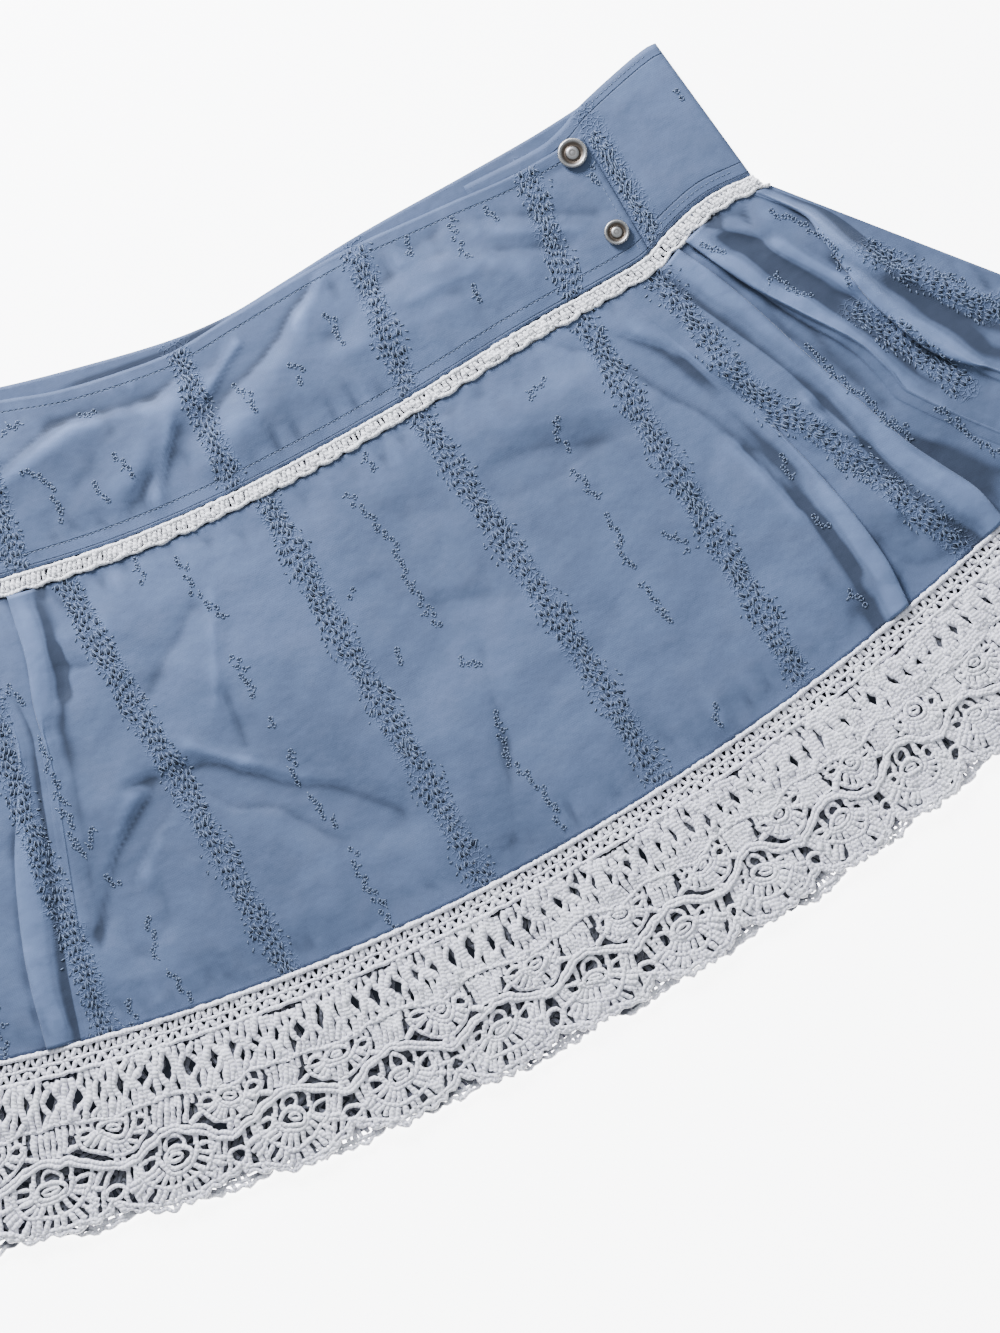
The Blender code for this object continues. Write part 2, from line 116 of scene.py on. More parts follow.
# Thickness of each solid's wall and the gap that parts two pieces
CLOTH = 1.0
CROCHET = 1.6
EDGING = 2.0
EDGING_PRESSED = 1.0
GAP = 0.3
SEAM_GAP = 0.5
EDGING_DEPTH = 7.3
EDGING_SCALLOP_DEPTH = 0.9

# Height of the middle of each wall over the floor
BACK_LEVEL = CLOTH / 2
FRONT_LEVEL = CLOTH + GAP + CLOTH / 2
SKIRT_LEVEL = FRONT_LEVEL + GAP
WRAP_LEVEL = FRONT_LEVEL + CLOTH + GAP
EDGING_LEVEL = EDGING_PRESSED + GAP + EDGING / 2
LACE_LEVEL = CROCHET + GAP + CROCHET / 2
LACE_REST = 1.5

# The front yoke wraps over the side yoke, which starts under it
WRAP_EDGE_TOP = 159.5
WRAP_EDGE_BOTTOM = 162.5
SIDE_YOKE_START = 98.6
WRAP_RISE_START = 72.0
WRAP_RISE_END = 95.0

# Stations along each edge, as x and y from the sewing origin
WAIST_BACK = ((-212, 119), (-143, 99), (-108, 90.4), (-61, 80.8), (-30, 78.2), (0, 80), (45, 83.2), (104, 84.6),
              (149, 86.4), (212, 93))
WAIST_FRONT = ((-212, 114), (-147, 93.6), (-119, 84.4), (-85, 77.8), (-61, 75.2), (-30, 77), (29, 79.6), (81, 76.6),
               (121, 73.6), (163, 75))
WAIST_SIDE = ((98, 80), (140, 79.6), (154, 83), (164, 87.5), (194, 95.4), (207, 97.8), (212, 97.6))
SEAM_FRONT = ((-223, 25.5), (-186, 18), (-132, 8), (-82, 3.1), (-30, 1.8), (29, 3.2), (89, 6.9), (149, 8.4),
              (161, 9.8), (171, 14), (186, 18.7), (201, 21.4), (223, 20.4))
SEAM_BACK = ((-223, 24), (-120, 7), (-30, 1.4), (60, 4), (140, 9), (223, 20))

# The lace seam and the hem are each two arcs that meet at their lowest point
Arcs = namedtuple("Arcs", "low_x low_y left_radius right_radius")
LACE_TOP = Arcs(-34.0, -222.0, 984.0, 1080.0)
LACE_BOTTOM = Arcs(-53.0, -308.5, 1032.0, 1176.0)

# Pleats of the front skirt. Facing 1 is an edge that looks right. Each row is a place down the skirt:
# down and across are fractions, overlap is how far the cloth tucks back under the edge (negative where
# the pleat has opened to a ridge), lift is the height of the upper layer and ramp its rise
Pleat = namedtuple("Pleat", "name facing rows")
Row = namedtuple("Row", "down across overlap lift ramp")


def pleat(name, facing, *rows):
    return Pleat(name, facing, tuple(Row(*row) for row in rows))


PLEATS = (
    pleat("left roll", 1,
        (0.00, -0.965, -2.0, 1.0, 4.0), (0.13, -0.955, 1.0, 3.0, 6.0), (0.22, -0.925, 4.0, 4.2, 9.0),
        (0.38, -0.875, 6.0, 4.8, 10.0), (0.60, -0.850, 5.0, 4.4, 10.0), (0.72, -0.860, -3.0, 2.0, 9.0),
        (1.00, -0.870, -5.0, 0.3, 8.0)),
    pleat("left deep pleat", -1,
        (0.00, -0.900, -3.0, 0.5, 5.0), (0.20, -0.830, -3.0, 0.6, 5.0), (0.33, -0.788, -1.0, 2.2, 6.0),
        (0.46, -0.786, 4.0, 3.4, 6.0), (0.58, -0.788, 8.0, 4.0, 7.0), (0.79, -0.772, 8.0, 4.0, 8.0),
        (1.00, -0.743, 6.0, 3.2, 8.0)),
    pleat("left first pleat", -1,
        (0.00, -0.815, 7.0, 3.2, 7.0), (0.14, -0.774, 7.0, 3.6, 8.0), (0.26, -0.757, 4.0, 3.2, 8.0),
        (0.36, -0.736, -2.0, 2.2, 8.0), (0.50, -0.718, -3.0, 1.2, 8.0), (1.00, -0.680, -4.0, 0.3, 8.0)),
    pleat("right hem pleat", 1,
        (0.00, 0.620, -3.0, 0.3, 7.0), (0.35, 0.605, -3.0, 0.4, 7.0), (0.47, 0.599, -1.0, 2.0, 7.0),
        (0.60, 0.589, 2.0, 3.0, 8.0), (0.75, 0.573, 5.0, 3.6, 8.0), (0.88, 0.555, 8.0, 4.6, 8.0),
        (1.00, 0.529, 7.0, 4.0, 8.0)),
    pleat("right long pleat", 1,
        (0.00, 0.765, 6.0, 3.4, 8.0), (0.11, 0.760, 6.0, 3.6, 8.0), (0.20, 0.752, 5.0, 3.2, 8.0),
        (0.38, 0.732, 2.0, 2.8, 8.0), (0.60, 0.712, 3.0, 3.0, 8.0), (0.70, 0.705, 5.0, 3.6, 9.0),
        (0.80, 0.705, 8.0, 4.6, 10.0), (0.90, 0.705, 9.0, 5.2, 10.0), (1.00, 0.692, 7.0, 4.0, 9.0)),
    pleat("right ridge", -1,
        (0.00, 0.787, 5.0, 4.0, 8.0), (0.11, 0.779, 4.0, 5.0, 9.0), (0.20, 0.777, 1.0, 5.0, 9.0),
        (0.30, 0.782, -2.0, 4.6, 9.0), (0.46, 0.789, -4.0, 3.6, 8.0), (0.56, 0.777, -5.0, 2.2, 8.0),
        (0.62, 0.766, -5.0, 1.0, 8.0), (1.00, 0.800, -5.0, 0.3, 8.0)),
    pleat("right roll", -1,
        (0.00, 0.965, -2.0, 1.0, 4.0), (0.13, 0.958, 1.0, 3.0, 6.0), (0.22, 0.921, 4.0, 4.6, 9.0),
        (0.38, 0.867, 7.0, 5.4, 10.0), (0.48, 0.848, 7.0, 5.6, 10.0), (0.59, 0.837, 6.0, 5.2, 10.0),
        (0.67, 0.845, 2.0, 3.6, 9.0), (0.72, 0.856, -3.0, 2.0, 8.0), (1.00, 0.880, -5.0, 0.3, 8.0)),
)
# Plain columns of the section before each pleat, and after the last one
PLAIN_COLUMNS = (14, 12, 10, 176, 44, 6, 10, 18)
PLEAT_STEPS = 2
SKIRT_ROWS = 112
PLEAT_NOSE = 0.55
PLEAT_CLEARANCE = 1.6
ROUNDING = 0.42

# Broad soft ridges and troughs of the front, as a line from one end to the other, its width and its height
Crease = namedtuple("Crease", "x1 y1 x2 y2 width height")


def creases(*rows):
    return tuple(Crease(*row) for row in rows)


SKIRT_CREASES = creases(
    (128, -26, 190, -123, 13, -1.8),
    (95, -30, 150, -120, 22, 1.6),
    (-170, -112, -205, -165, 14, -2.0),
    (-185, -100, -150, -95, 13, 1.8),
    (-143, -104, -84, -166, 16, -1.4),
    (-120, -60, -60, -140, 22, 1.5),
    (20, -48, 85, -62, 18, -1.4),
    (-20, -150, 40, -110, 20, 1.4),
    (60, -190, 120, -150, 20, -1.2),
    (210, -150, 235, -185, 12, 1.6),
    (300, -130, 330, -110, 16, 2.0),
    (-320, -150, -300, -110, 16, 2.0),
)
# Sharper creases that only the looks have, beside the broad ones of the solid
SKIRT_FINE_CREASES = creases(
    (124.1, -22.2, 148.1, -48.5, 8, -1.9), (148.1, -48.5, 167.7, -83.4, 8, -2.4),
    (167.7, -83.4, 178.3, -109.6, 7, -1.8), (140.6, -21.7, 166.7, -54.6, 7, 1.3),
    (166.7, -54.6, 186.3, -99.7, 7, 1.2), (195.5, -88.3, 203.8, -119.9, 2.8, 1.5),
    (203.8, -119.9, 209, -154.1, 2.8, 1.3), (200.5, -95.3, 208.4, -127.7, 4.5, -1.5),
    (208.4, -127.7, 211.9, -169.2, 4.5, -1.4), (158.9, -95, 169.9, -130.7, 2.6, -0.9),
    (169.9, -130.7, 181.6, -172.2, 2.6, -0.9), (181.6, -172.2, 191.3, -198, 2.6, -0.8),
    (155.5, -94.2, 166.2, -132.5, 3.2, 0.5), (198.7, -98.7, 224.1, -136, 4.2, 1.2),
    (200.3, -106, 216.6, -145.1, 5, -1.3), (234.8, -136.3, 259.9, -165.8, 9, -2.2),
    (244.4, -113.1, 267.4, -136.2, 11, 1.7), (192.9, -17.4, 209.2, -56.4, 7, -1.5),
    (209.2, -56.4, 226.9, -104.9, 8, -1.5), (182.9, -3.4, 215.5, -44.5, 4, 1),
    (215.5, -44.5, 242, -102.1, 4.5, 1.2), (187.1, 0.4, 213.3, -9.7, 4, -1.9),
    (192.1, 14, 208.2, 11.5, 3, -1.9), (190.9, 6.5, 208.3, -1.6, 4.5, 1.2),
    (209.7, 11.2, 211.7, -2.3, 3, -1.2), (212, -6.9, 240.3, -49, 3.4, 1.7),
    (240.3, -49, 253, -81.3, 3.4, 1.6), (253, -81.3, 274.1, -110.3, 3.4, 1.5),
    (210.6, -14.8, 236.2, -56.6, 5, -1.6), (236.2, -56.6, 260.6, -97.8, 5, -1.6),
    (241.6, -28, 264.2, -55.1, 5, 1.2), (264.2, -55.1, 300.3, -89.5, 5, 1.2),
    (245.2, -39.6, 263, -69.7, 6, -1.8), (263, -69.7, 294.5, -100.5, 6, -1.8),
    (143.7, -89.7, 131.2, -103.1, 6, -0.7), (55.5, -51.1, 100.4, -58.6, 8, -1.1),
    (68.3, -35.1, 108.9, -45.7, 7, 0.6), (108.5, -6.4, 133.4, -27.2, 4.5, -0.9),
    (11.9, -4.1, 40.6, -7.4, 4, -0.9), (-151.1, -105.8, -127.5, -128, 7, -1.9),
    (-127.5, -128, -96.7, -152, 8, -1.8), (-96.7, -152, -68, -171.5, 8, -1.2),
    (-142.3, -96.3, -123, -115.3, 4, 1.2), (-123, -115.3, -91.4, -141.8, 6, 0.9),
    (-174.1, -115.4, -195.9, -129.9, 6, -2), (-195.9, -129.9, -223.1, -154.6, 6, -1.8),
    (-179.9, -105.8, -203.1, -127.1, 5, 1), (-170.4, -124.9, -190.1, -139.5, 6, 0.8),
    (-175.6, -99.9, -167.1, -102.2, 3.5, -1.3), (-147.5, -63.1, -111.3, -37.8, 7, -1.2),
    (-100.5, -38, -121.8, -82.2, 3.4, 0.8), (-116.2, -84.1, -118.5, -106.8, 5, -0.8),
    (-102, -174.2, -100.2, -191.4, 8, -0.7), (-100.2, -191.4, -80.1, -194.4, 8, -0.6),
    (-8.9, -88.7, 40.4, -108.3, 8, -0.6), (1.2, -122.9, -9.2, -166.2, 6, -0.7),
    (-9.2, -166.2, -26.4, -209.9, 6, -0.9), (-176, 6.2, -178.8, -24.8, 2.6, -1.3),
    (-178.8, -24.8, -182.8, -45.6, 2.6, -1), (-171.7, 4, -175, -26.9, 3, 0.8),
    (-152.5, -0.7, -159.2, -29.8, 4, -0.7), (-257.3, -147.4, -259.8, -183, 2.6, 0.8),
    (-259.8, -183, -258.9, -197.6, 2.6, 0.7), (-178.6, -34.7, -168, -38.2, 3, -0.6),
    (-174.5, -21.7, -154.8, -25.6, 5, 0.5), (89.6, -118.1, 54.7, -143, 9, -0.5),
    (-31, -130.3, -36.4, -181.7, 9, 0.5), (-68.1, -67.1, -73.4, -107.8, 8, 0.4),
    (162, -145.5, 165.2, -190.7, 7, -0.6), (211.4, -190.7, 240.5, -187.1, 6, -1),
    (195.9, -163.5, 205.9, -195.9, 5, -1.2), (186.7, -191.2, 197.6, -186.1, 3, -1.4),
)
YOKE_CREASES = creases(
    (-115, 10, -20, 62, 12, -1.4),
    (-135, 14, -75, 52, 10, 1.6),
    (-60, 20, 10, 66, 14, 1.3),
    (-205, 60, -130, 66, 12, 1.2),
    (60, 50, 110, 30, 14, 0.9),
)
YOKE_FINE_CREASES = creases(
    (-57.9, 49.7, -33.1, 63.7, 3.2, 1.5), (-57.2, 43.9, -20.2, 62.3, 6, -1.7),
    (-20.2, 62.3, 6.4, 73.7, 7, -1.9), (-1.2, 59.3, 21.1, 76.8, 4.5, 1.7),
    (-101.2, 17.2, -79.5, 44.8, 3.4, 1.3), (-78.5, 40.5, -94, 22.6, 4.5, -0.8),
    (-161.7, 63.9, -125, 71.6, 4, -1.1), (-125, 71.6, -81.5, 61.6, 4, -1.3),
    (-81.5, 61.6, -57.3, 66.2, 3.5, -1), (-163.2, 57.1, -123.1, 65.1, 5, 0.8),
    (-123.1, 65.1, -84.2, 56.5, 5, 0.7), (-145.7, 32.6, -105.2, 55.7, 7, -0.9),
    (-115.9, 14.1, -99.9, 26.8, 4, -0.9), (9.5, 46.6, 40, 59.2, 8, -1.1),
    (40, 59.2, 73, 55.9, 7, -0.9), (11.2, 36.5, 75.9, 30.5, 8, 0.8),
    (53.7, 75.9, 86.6, 66.1, 7, -0.9), (54, 61, 92.9, 42.1, 6, 0.7),
    (51.3, 43.5, 82.2, 42.3, 3.5, 0.6), (115, 68.4, 145, 66.6, 4, -0.8),
    (107.7, 59.8, 147.2, 40, 5, -0.9), (99.8, 44.9, 127.3, 33.1, 5, -1),
    (103.9, 52.6, 136.2, 36.6, 4, 0.6), (-50.4, 32.1, -16.9, 29.6, 9, 0.7),
    (-114.4, 48.6, -102.3, 50.9, 6, 0.6), (69.5, 33.8, 86.4, 19.5, 8, -0.5),
    (-164.5, 38.2, -143, 37.7, 6, 0.6), (-33.6, 49.3, -24.1, 55.1, 4, -0.6),
)
BILLOW = 1.6
FINE_SOFTNESS = 0.72
BILLOW_EDGE = 30.0
YOKE_DEPTH = 76.0
YOKE_WIDTH = 370.0
SIDE_YOKE_WIDTH = 120.0
SKIRT_DEPTH = 220.0
FLAT_START = 100.0
FLAT_REACH = 25.0

# One lace repeat hangs under each fan. The repeats narrow from left to right as the lace is eased in
FANS = 17
FIRST_FAN = -0.973
FIRST_PITCH = 0.1568
PITCH_STEP = 0.0057
LAST_PITCH = 0.0940
LACE_DEPTH = 87.0
# Depth of the middles that the upper shells and the lower fans spread from
SHELL_HUB = 40.0
FAN_HUB = 60.5
REPEAT_WIDTH = 50.0
FAN_INDENT = 7.5
FAN_ROUNDNESS = 2.6
KNOBS = 8
RAIL_STEP = 2.2
STRAY_SEED = 5

# Openings of one repeat: across the repeat and down the lace as fractions, width and height
Hole = namedtuple("Hole", "across down width height")
WINDOWS = tuple(Hole((n + 0.5) / 5, 0.285 + 0.02 * (n % 2), 4.9, 13.5) for n in range(5))
BACK_WINDOWS = tuple(Hole((n + 0.5) / 4, 0.285 + 0.02 * (n % 2), 5.2, 13.5) for n in range(4))
ROUND_HOLES = (
    Hole(0.5, 0.665, 6.6, 6.2),
    Hole(0.24, 0.725, 6.8, 4.8),
    Hole(0.76, 0.725, 6.8, 4.8),
    Hole(0.0, 0.83, 6.4, 6.0),
)
BACK_SHIFT = 0.37
BACK_DROP = 1.5
BACK_YARN_LOW = 0.95
BACK_YARN_HIGH = 1.15
BACK_YARN_RADIUS = 1.08

# Snap caps: middle of each cap and its radius
Snap = namedtuple("Snap", "name x y radius")
SNAPS = (Snap("snap_upper", 152.0, 69.2, 7.2), Snap("snap_lower", 153.0, 25.8, 6.1))

# Lines of the eyelet strips, as x and y stations from the waist side to the hem side
SKIRT_STRIPS = (
    ((-316, -60), (-326, -130), (-334, -205)),
    ((-213, -16), (-227, -82), (-243, -205)),
    ((-159, 2), (-156, -100), (-151, -215)),
    ((-56, -4), (-53, -110), (-48, -222)),
    ((28, -4), (38, -90), (50, -218)),
    ((119, -2), (125, -100), (131, -205)),
    ((159, 2), (174, -70), (197, -110), (229, -186)),
    ((236, -60), (248, -80), (266, -118)),
    ((256, -38), (276, -66), (293, -92)),
    ((300, -90), (322, -170)),
)
YOKE_STRIPS = (
    ((-160, 98), (-177, 14)),
    ((-60, 76), (-66, 3)),
    ((38, 80), (29, 3)),
    ((128, 74), (120, 7)),
)
SIDE_YOKE_STRIPS = (
    ((165.5, 86), (168.5, 13)),
)
# Broken lines of small sprigs between the strips
SKIRT_SPRIGS = (
    ((-3.5, -11.7), (-2.2, -21.6)), ((-20.1, -24.7), (-14.7, -40), (-11.7, -57.9), (-13.2, -70.1)),
    ((-13.2, -70.1), (-12.7, -85.6), (-11, -102.8)), ((-9.2, -120.1), (-1.7, -128.4)),
    ((-5.6, -150.2), (-10.5, -173.7), (-5.4, -184.6)), ((-5.4, -184.6), (-2.6, -206.1), (-4.6, -216)),
    ((-106, -13.4), (-106.5, -37)), ((-105.3, -39.9), (-98.6, -48.8)), ((-104.2, -67.6), (-103.9, -89.5)),
    ((-103.3, -102.8), (-101.3, -109.3)), ((-102.9, -120.5), (-104.1, -137.2)), ((-102.6, -144.5), (-100, -164.3)),
    ((-97.3, -175.6), (-99.3, -189.7), (-97.2, -210.4), (-96.6, -219.4)), ((-124.7, -4.6), (-125, -18.6)),
    ((-208.4, -133), (-202.1, -139.6)), ((-199.6, -159.4), (-205.2, -180.4)), ((-201.5, -187.7), (-200.2, -205.8)),
    ((-225.6, -190.2), (-230.3, -205.1)), ((-204, -108.2), (-209.3, -116.3)), ((-207.3, -30.4), (-203.3, -41.2)),
    ((-218, -46.5), (-215.1, -51.3)), ((84.6, -39.3), (82, -56.5)), ((81.8, -65), (85.7, -84.5)),
    ((87.2, -91.8), (83.8, -108.5), (86.1, -120.6)), ((85.1, -128.7), (87.1, -151.5)),
    ((78.9, -23.3), (90.2, -20.6)), ((106.1, -111.6), (113.5, -124.2)), ((171.1, -105.8), (173.3, -120)),
    ((171.6, -139.7), (180, -148.5)), ((170.7, -178.4), (175.1, -190.5)), ((89.5, -196.2), (86.2, -208.6)),
    ((208.1, -64.5), (213.3, -81.4), (222.6, -104.8), (231.5, -129.1)),
    ((222.5, -0.4), (233.4, -12.7), (240.3, -30.5), (240.3, -49)), ((259.3, -43.8), (266.3, -57.3)),
    ((281.1, -64.1), (289.9, -76.3)), ((294.4, -84.2), (298.1, -93.7)), ((185.2, 0.8), (193.1, -8.8)),
    ((208.1, -27.6), (220.1, -45.9)), ((195.6, -121), (205.6, -137.1)), ((222.9, -112.6), (231.3, -122.4)),
    ((-32.4, -102.3), (-37.7, -108.2)), ((-40.2, -65.6), (-42.5, -72)),
    ((-272, -60), (-288, -120)), ((-280, -140), (-292, -200)), ((-205, -60), (-214, -120)), ((250, -120), (278, -185)),
    ((310, -120), (330, -180)), ((-300, -90), (-310, -110)),
)
YOKE_SPRIGS = (
    ((-151.1, 58.3), (-144.9, 49.5), (-145.3, 33.4), (-145.9, 26.2)), ((-109.6, 44.4), (-106.7, 28.3)),
    ((-125, 36.8), (-123.6, 25.2)), ((-42.3, 47.4), (-39.4, 40.4), (-40.1, 31)),
    ((-15.3, 42.9), (-12.4, 38.1), (-16, 33.4)), ((85.4, 68.9), (83.4, 59.1), (82.7, 47.5)),
    ((79.4, 35.1), (80.5, 24.8)), ((61.4, 70.7), (62.8, 61.3)), ((12.5, 56.4), (12.9, 38.8)),
    ((103.3, 65.9), (105.3, 57.3)), ((156, 58.7), (157.1, 50.5)), ((202, 78.8), (212.5, 68.9)),
    ((-115.7, 68.8), (-106.7, 65.2)), ((-151.1, 78.9), (-141.2, 78)),
)


def mix(a, b, part):
    return a + (b - a) * part


def smooth(part):
    part = min(max(part, 0.0), 1.0)
    return part * part * (3 - 2 * part)


def through(stations, x):
    """Values of a smooth line through the stations at x, the first value of each station."""
    n = 0
    while n < len(stations) - 2 and x > stations[n + 1][0]:
        n += 1
    one, two = stations[n], stations[n + 1]
    before = stations[n - 1] if n else tuple(2 * a - b for a, b in zip(one, two))
    after = stations[n + 2] if n + 2 < len(stations) else tuple(2 * b - a for a, b in zip(one, two))
    run = two[0] - one[0]
    part = min(max((x - one[0]) / run, 0.0), 1.0)
    cube, square = part ** 3, part ** 2
    values = [x]
    for a, b, c, d in list(zip(before, one, two, after))[1:]:
        slope1 = (c - a) / (two[0] - before[0]) * run
        slope2 = (d - b) / (after[0] - one[0]) * run
        values.append((2 * cube - 3 * square + 1) * b + (cube - 2 * square + part) * slope1
                      + (3 * square - 2 * cube) * c + (cube - square) * slope2)
    return values


def along(stations, x):
    return through(stations, x)[1]


def arc_height(arcs, x):
    radius = arcs.right_radius if x > arcs.low_x else arcs.left_radius
    return arcs.low_y + radius - math.sqrt(radius ** 2 - (x - arcs.low_x) ** 2)


def yoke_front_point(part, down):
    top_x = mix(-WAIST_HALF, WRAP_EDGE_TOP, part)
    low_x = mix(-SEAM_HALF, WRAP_EDGE_BOTTOM, part)
    return mix(top_x, low_x, down), mix(along(WAIST_FRONT, top_x), along(SEAM_FRONT, low_x), down)


def yoke_side_point(part, down):
    top_x = mix(SIDE_YOKE_START, WAIST_HALF, part)
    low_x = mix(SIDE_YOKE_START, SEAM_HALF, part)
    return mix(top_x, low_x, down), mix(along(WAIST_SIDE, top_x), along(SEAM_FRONT, low_x), down)


def yoke_back_point(part, down):
    top_x = mix(-WAIST_HALF, WAIST_HALF, part)
    low_x = mix(-SEAM_HALF, SEAM_HALF, part)
    return mix(top_x, low_x, down), mix(along(WAIST_BACK, top_x), along(SEAM_BACK, low_x), down)


def skirt_half(down):
    return mix(SKIRT_TOP_HALF, LACE_TOP_HALF, down)


def skirt_point(seam, across, down):
    top_y = along(seam, SEAM_HALF * across) - SEAM_GAP - EDGING_DEPTH - EDGING_SCALLOP_DEPTH - GAP
    low_y = arc_height(LACE_TOP, LACE_TOP_HALF * across) + GAP
    return skirt_half(down) * across, mix(top_y, low_y, down)


def lace_point(across, down):
    top_x, low_x = LACE_TOP_HALF * across, LACE_BOTTOM_HALF * across
    return mix(top_x, low_x, down), mix(arc_height(LACE_TOP, top_x), arc_height(LACE_BOTTOM, low_x), down)


def crease_height(creases, x, y, softness=1.0):
    """Sum of the ridges and troughs at a point, each fading out past its ends and to its sides."""
    total = 0.0
    for crease in creases:
        run_x, run_y = crease.x2 - crease.x1, crease.y2 - crease.y1
        square = run_x ** 2 + run_y ** 2
        part = ((x - crease.x1) * run_x + (y - crease.y1) * run_y) / square
        beyond_square = (part - min(max(part, 0.0), 1.0)) ** 2 * square
        side_square = ((y - crease.y1) * run_x - (x - crease.x1) * run_y) ** 2 / square
        power = (side_square + 0.5 * beyond_square) / crease.width ** 2
        if power < 8:
            total += crease.height * math.exp(-power ** softness)
    return total


def crumple(x, y, size, height):
    """Small soft unevenness of pressed cotton, as tall as height over a run of size."""
    return height * noise.noise(Vector((x / size, y / size, size)))


def billow(broad, fine, x, y, from_edge):
    """Height of the front over the level where it is sewn down."""
    loose = max(0.0, BILLOW + crease_height(broad, x, y)) * smooth(from_edge / BILLOW_EDGE)
    detail = crease_height(fine, x, y, FINE_SOFTNESS) + crumple(x, y, 34, 0.9) + crumple(x, y, 13, 0.35)
    pucker = 0.9 * noise.noise(Vector((x / 7, y / 40, 9.0))) * (1 - smooth(from_edge / 34))
    return max(0.0, loose + (detail + pucker) * smooth(from_edge / 9))


def pleat_section(pleat, down):
    """Section across a pleat as x and height: up the ramp, over the edge, back under it and out again."""
    row = Row(*through(pleat.rows, down))
    tucked = max(row.overlap, 0.0)
    turn = PLEAT_NOSE * min(max(row.overlap / 2, -1.0), 1.0)
    foot = tucked + PLEAT_CLEARANCE
    section = [
        (-foot - row.ramp, 0.0),
        (-foot, 0.72 * row.lift),
        (-foot / 2, row.lift),
        (-PLEAT_NOSE, 0.97 * row.lift),
        (0.0, 0.75 * row.lift),
        (-turn, 0.53 * row.lift),
        (-row.overlap + turn, 0.47 * row.lift),
        (-row.overlap, 0.25 * row.lift),
        (-row.overlap + PLEAT_NOSE, 0.0),
    ]
    edge = skirt_half(down) * row.across
    section = [(edge + pleat.facing * x, height) for x, height in section]
    return section if pleat.facing > 0 else section[::-1]


def rounded(points, steps):
    """The points with a smooth run of steps between each two."""
    line = []
    for n in range(len(points) - 1):
        one, two = points[n], points[n + 1]
        before = points[n - 1] if n else one
        after = points[n + 2] if n + 2 < len(points) else two
        for step in range(steps):
            part = step / steps
            square, cube = part ** 2, part ** 3
            line.append(tuple(
                (2 * cube - 3 * square + 1) * b + (cube - 2 * square + part) * ROUNDING * (c - a)
                + (3 * square - 2 * cube) * c + (cube - square) * ROUNDING * (d - b)
                for a, b, c, d in zip(before, one, two, after)))
    line.append(points[-1])
    return line


def skirt_section(down):
    """The whole section of the front skirt as x and height, from its left side to its right."""
    half = skirt_half(down)
    section = []
    start = -half
    for n, count in enumerate(PLAIN_COLUMNS):
        last = n == len(PLAIN_COLUMNS) - 1
        pleat = None if last else pleat_section(PLEATS[n], down)
        end = half if last else min(x for x, height in pleat)
        first_step = 0 if n == 0 else 1
        steps = count - 1 + (0 if n == 0 else 1) + (0 if last else 1)
        for step in range(first_step, first_step + count):
            section.append((mix(start, end, step / steps), 0.0))
        if not last:
            section.extend(rounded(pleat, PLEAT_STEPS))
            start = max(x for x, height in pleat)
    return section


def fan_bounds():
    """Where each lace repeat starts and ends, as fractions across the lace."""
    bounds = [FIRST_FAN]
    for n in range(FANS):
        bounds.append(bounds[-1] + max(LAST_PITCH, FIRST_PITCH - PITCH_STEP * n))
    return bounds


class Value:
    """One socket of a node tree, so that maths on it reads as it would on paper."""

    def __init__(self, tree, socket):
        self.tree = tree
        self.socket = socket

    def maths(self, operation, one, two):
        return self.tree.add("ShaderNodeMath", {"operation": operation}, {0: one, 1: two})

    def __add__(self, other):
        return self.maths("ADD", self, other)

    __radd__ = __add__

    def __sub__(self, other):
        return self.maths("SUBTRACT", self, other)

    def __rsub__(self, other):
        return self.maths("SUBTRACT", other, self)

    def __mul__(self, other):
        return self.maths("MULTIPLY", self, other)

    __rmul__ = __mul__

    def sine(self):
        return self.maths("SINE", self, 0.0)

    def above(self, low, high):
        """0 below low and 1 over high, with a soft step between."""
        return self.tree.add("ShaderNodeMapRange", {"interpolation_type": "SMOOTHSTEP"},
                             {"Value": self, "From Min": low, "From Max": high})


class Tree:
    """A node tree in which every node comes from add."""

    def __init__(self, tree):
        self.tree = tree
        self.tree.nodes.clear()

    def add(self, kind, settings=None, inputs=None, output=0):
        node = self.tree.nodes.new(kind)
        for key, value in (settings or {}).items():
            setattr(node, key, value)
        for key, value in (inputs or {}).items():
            if isinstance(value, Value):
                self.tree.links.new(value.socket, node.inputs[key])
            else:
                node.inputs[key].default_value = value
        return Value(self, node.outputs[output]) if len(node.outputs) else None

    def blend(self, one, two, part):
        """One colour or the other, by part."""
        return self.add("ShaderNodeMix", {"data_type": "RGBA"}, {0: part, 6: one, 7: two}, 2)

    def speckle(self, vector, scale, detail=2.0, rough=0.5):
        return self.add("ShaderNodeTexNoise", {}, {"Vector": vector, "Scale": scale, "Detail": detail,
                                                   "Roughness": rough})

    def attribute(self, name):
        return self.add("ShaderNodeAttribute", {"attribute_name": name}, {}, 2)

    def object_place(self):
        return self.add("ShaderNodeTexCoord", {}, {}, 3)

    def named(self, name, kind="FLOAT"):
        """The values that a mesh already has under a name."""
        return self.add("GeometryNodeInputNamedAttribute", {"data_type": kind}, {"Name": name})

    def keep(self, geometry, name, value):
        """The geometry with a value stored at each point under a name."""
        return self.add("GeometryNodeStoreNamedAttribute", {"data_type": "FLOAT", "domain": "POINT"},
                        {"Geometry": geometry, "Name": name, "Value": value})


def shade(colour, part):
    """A colour made lighter or darker by part, ready for a socket."""
    return (*(min(c * part, 1.0) for c in colour), 1.0)


def make_paint(name):
    material = bpy.data.materials.new(name)
    material.use_nodes = True
    return material, Tree(material.node_tree)


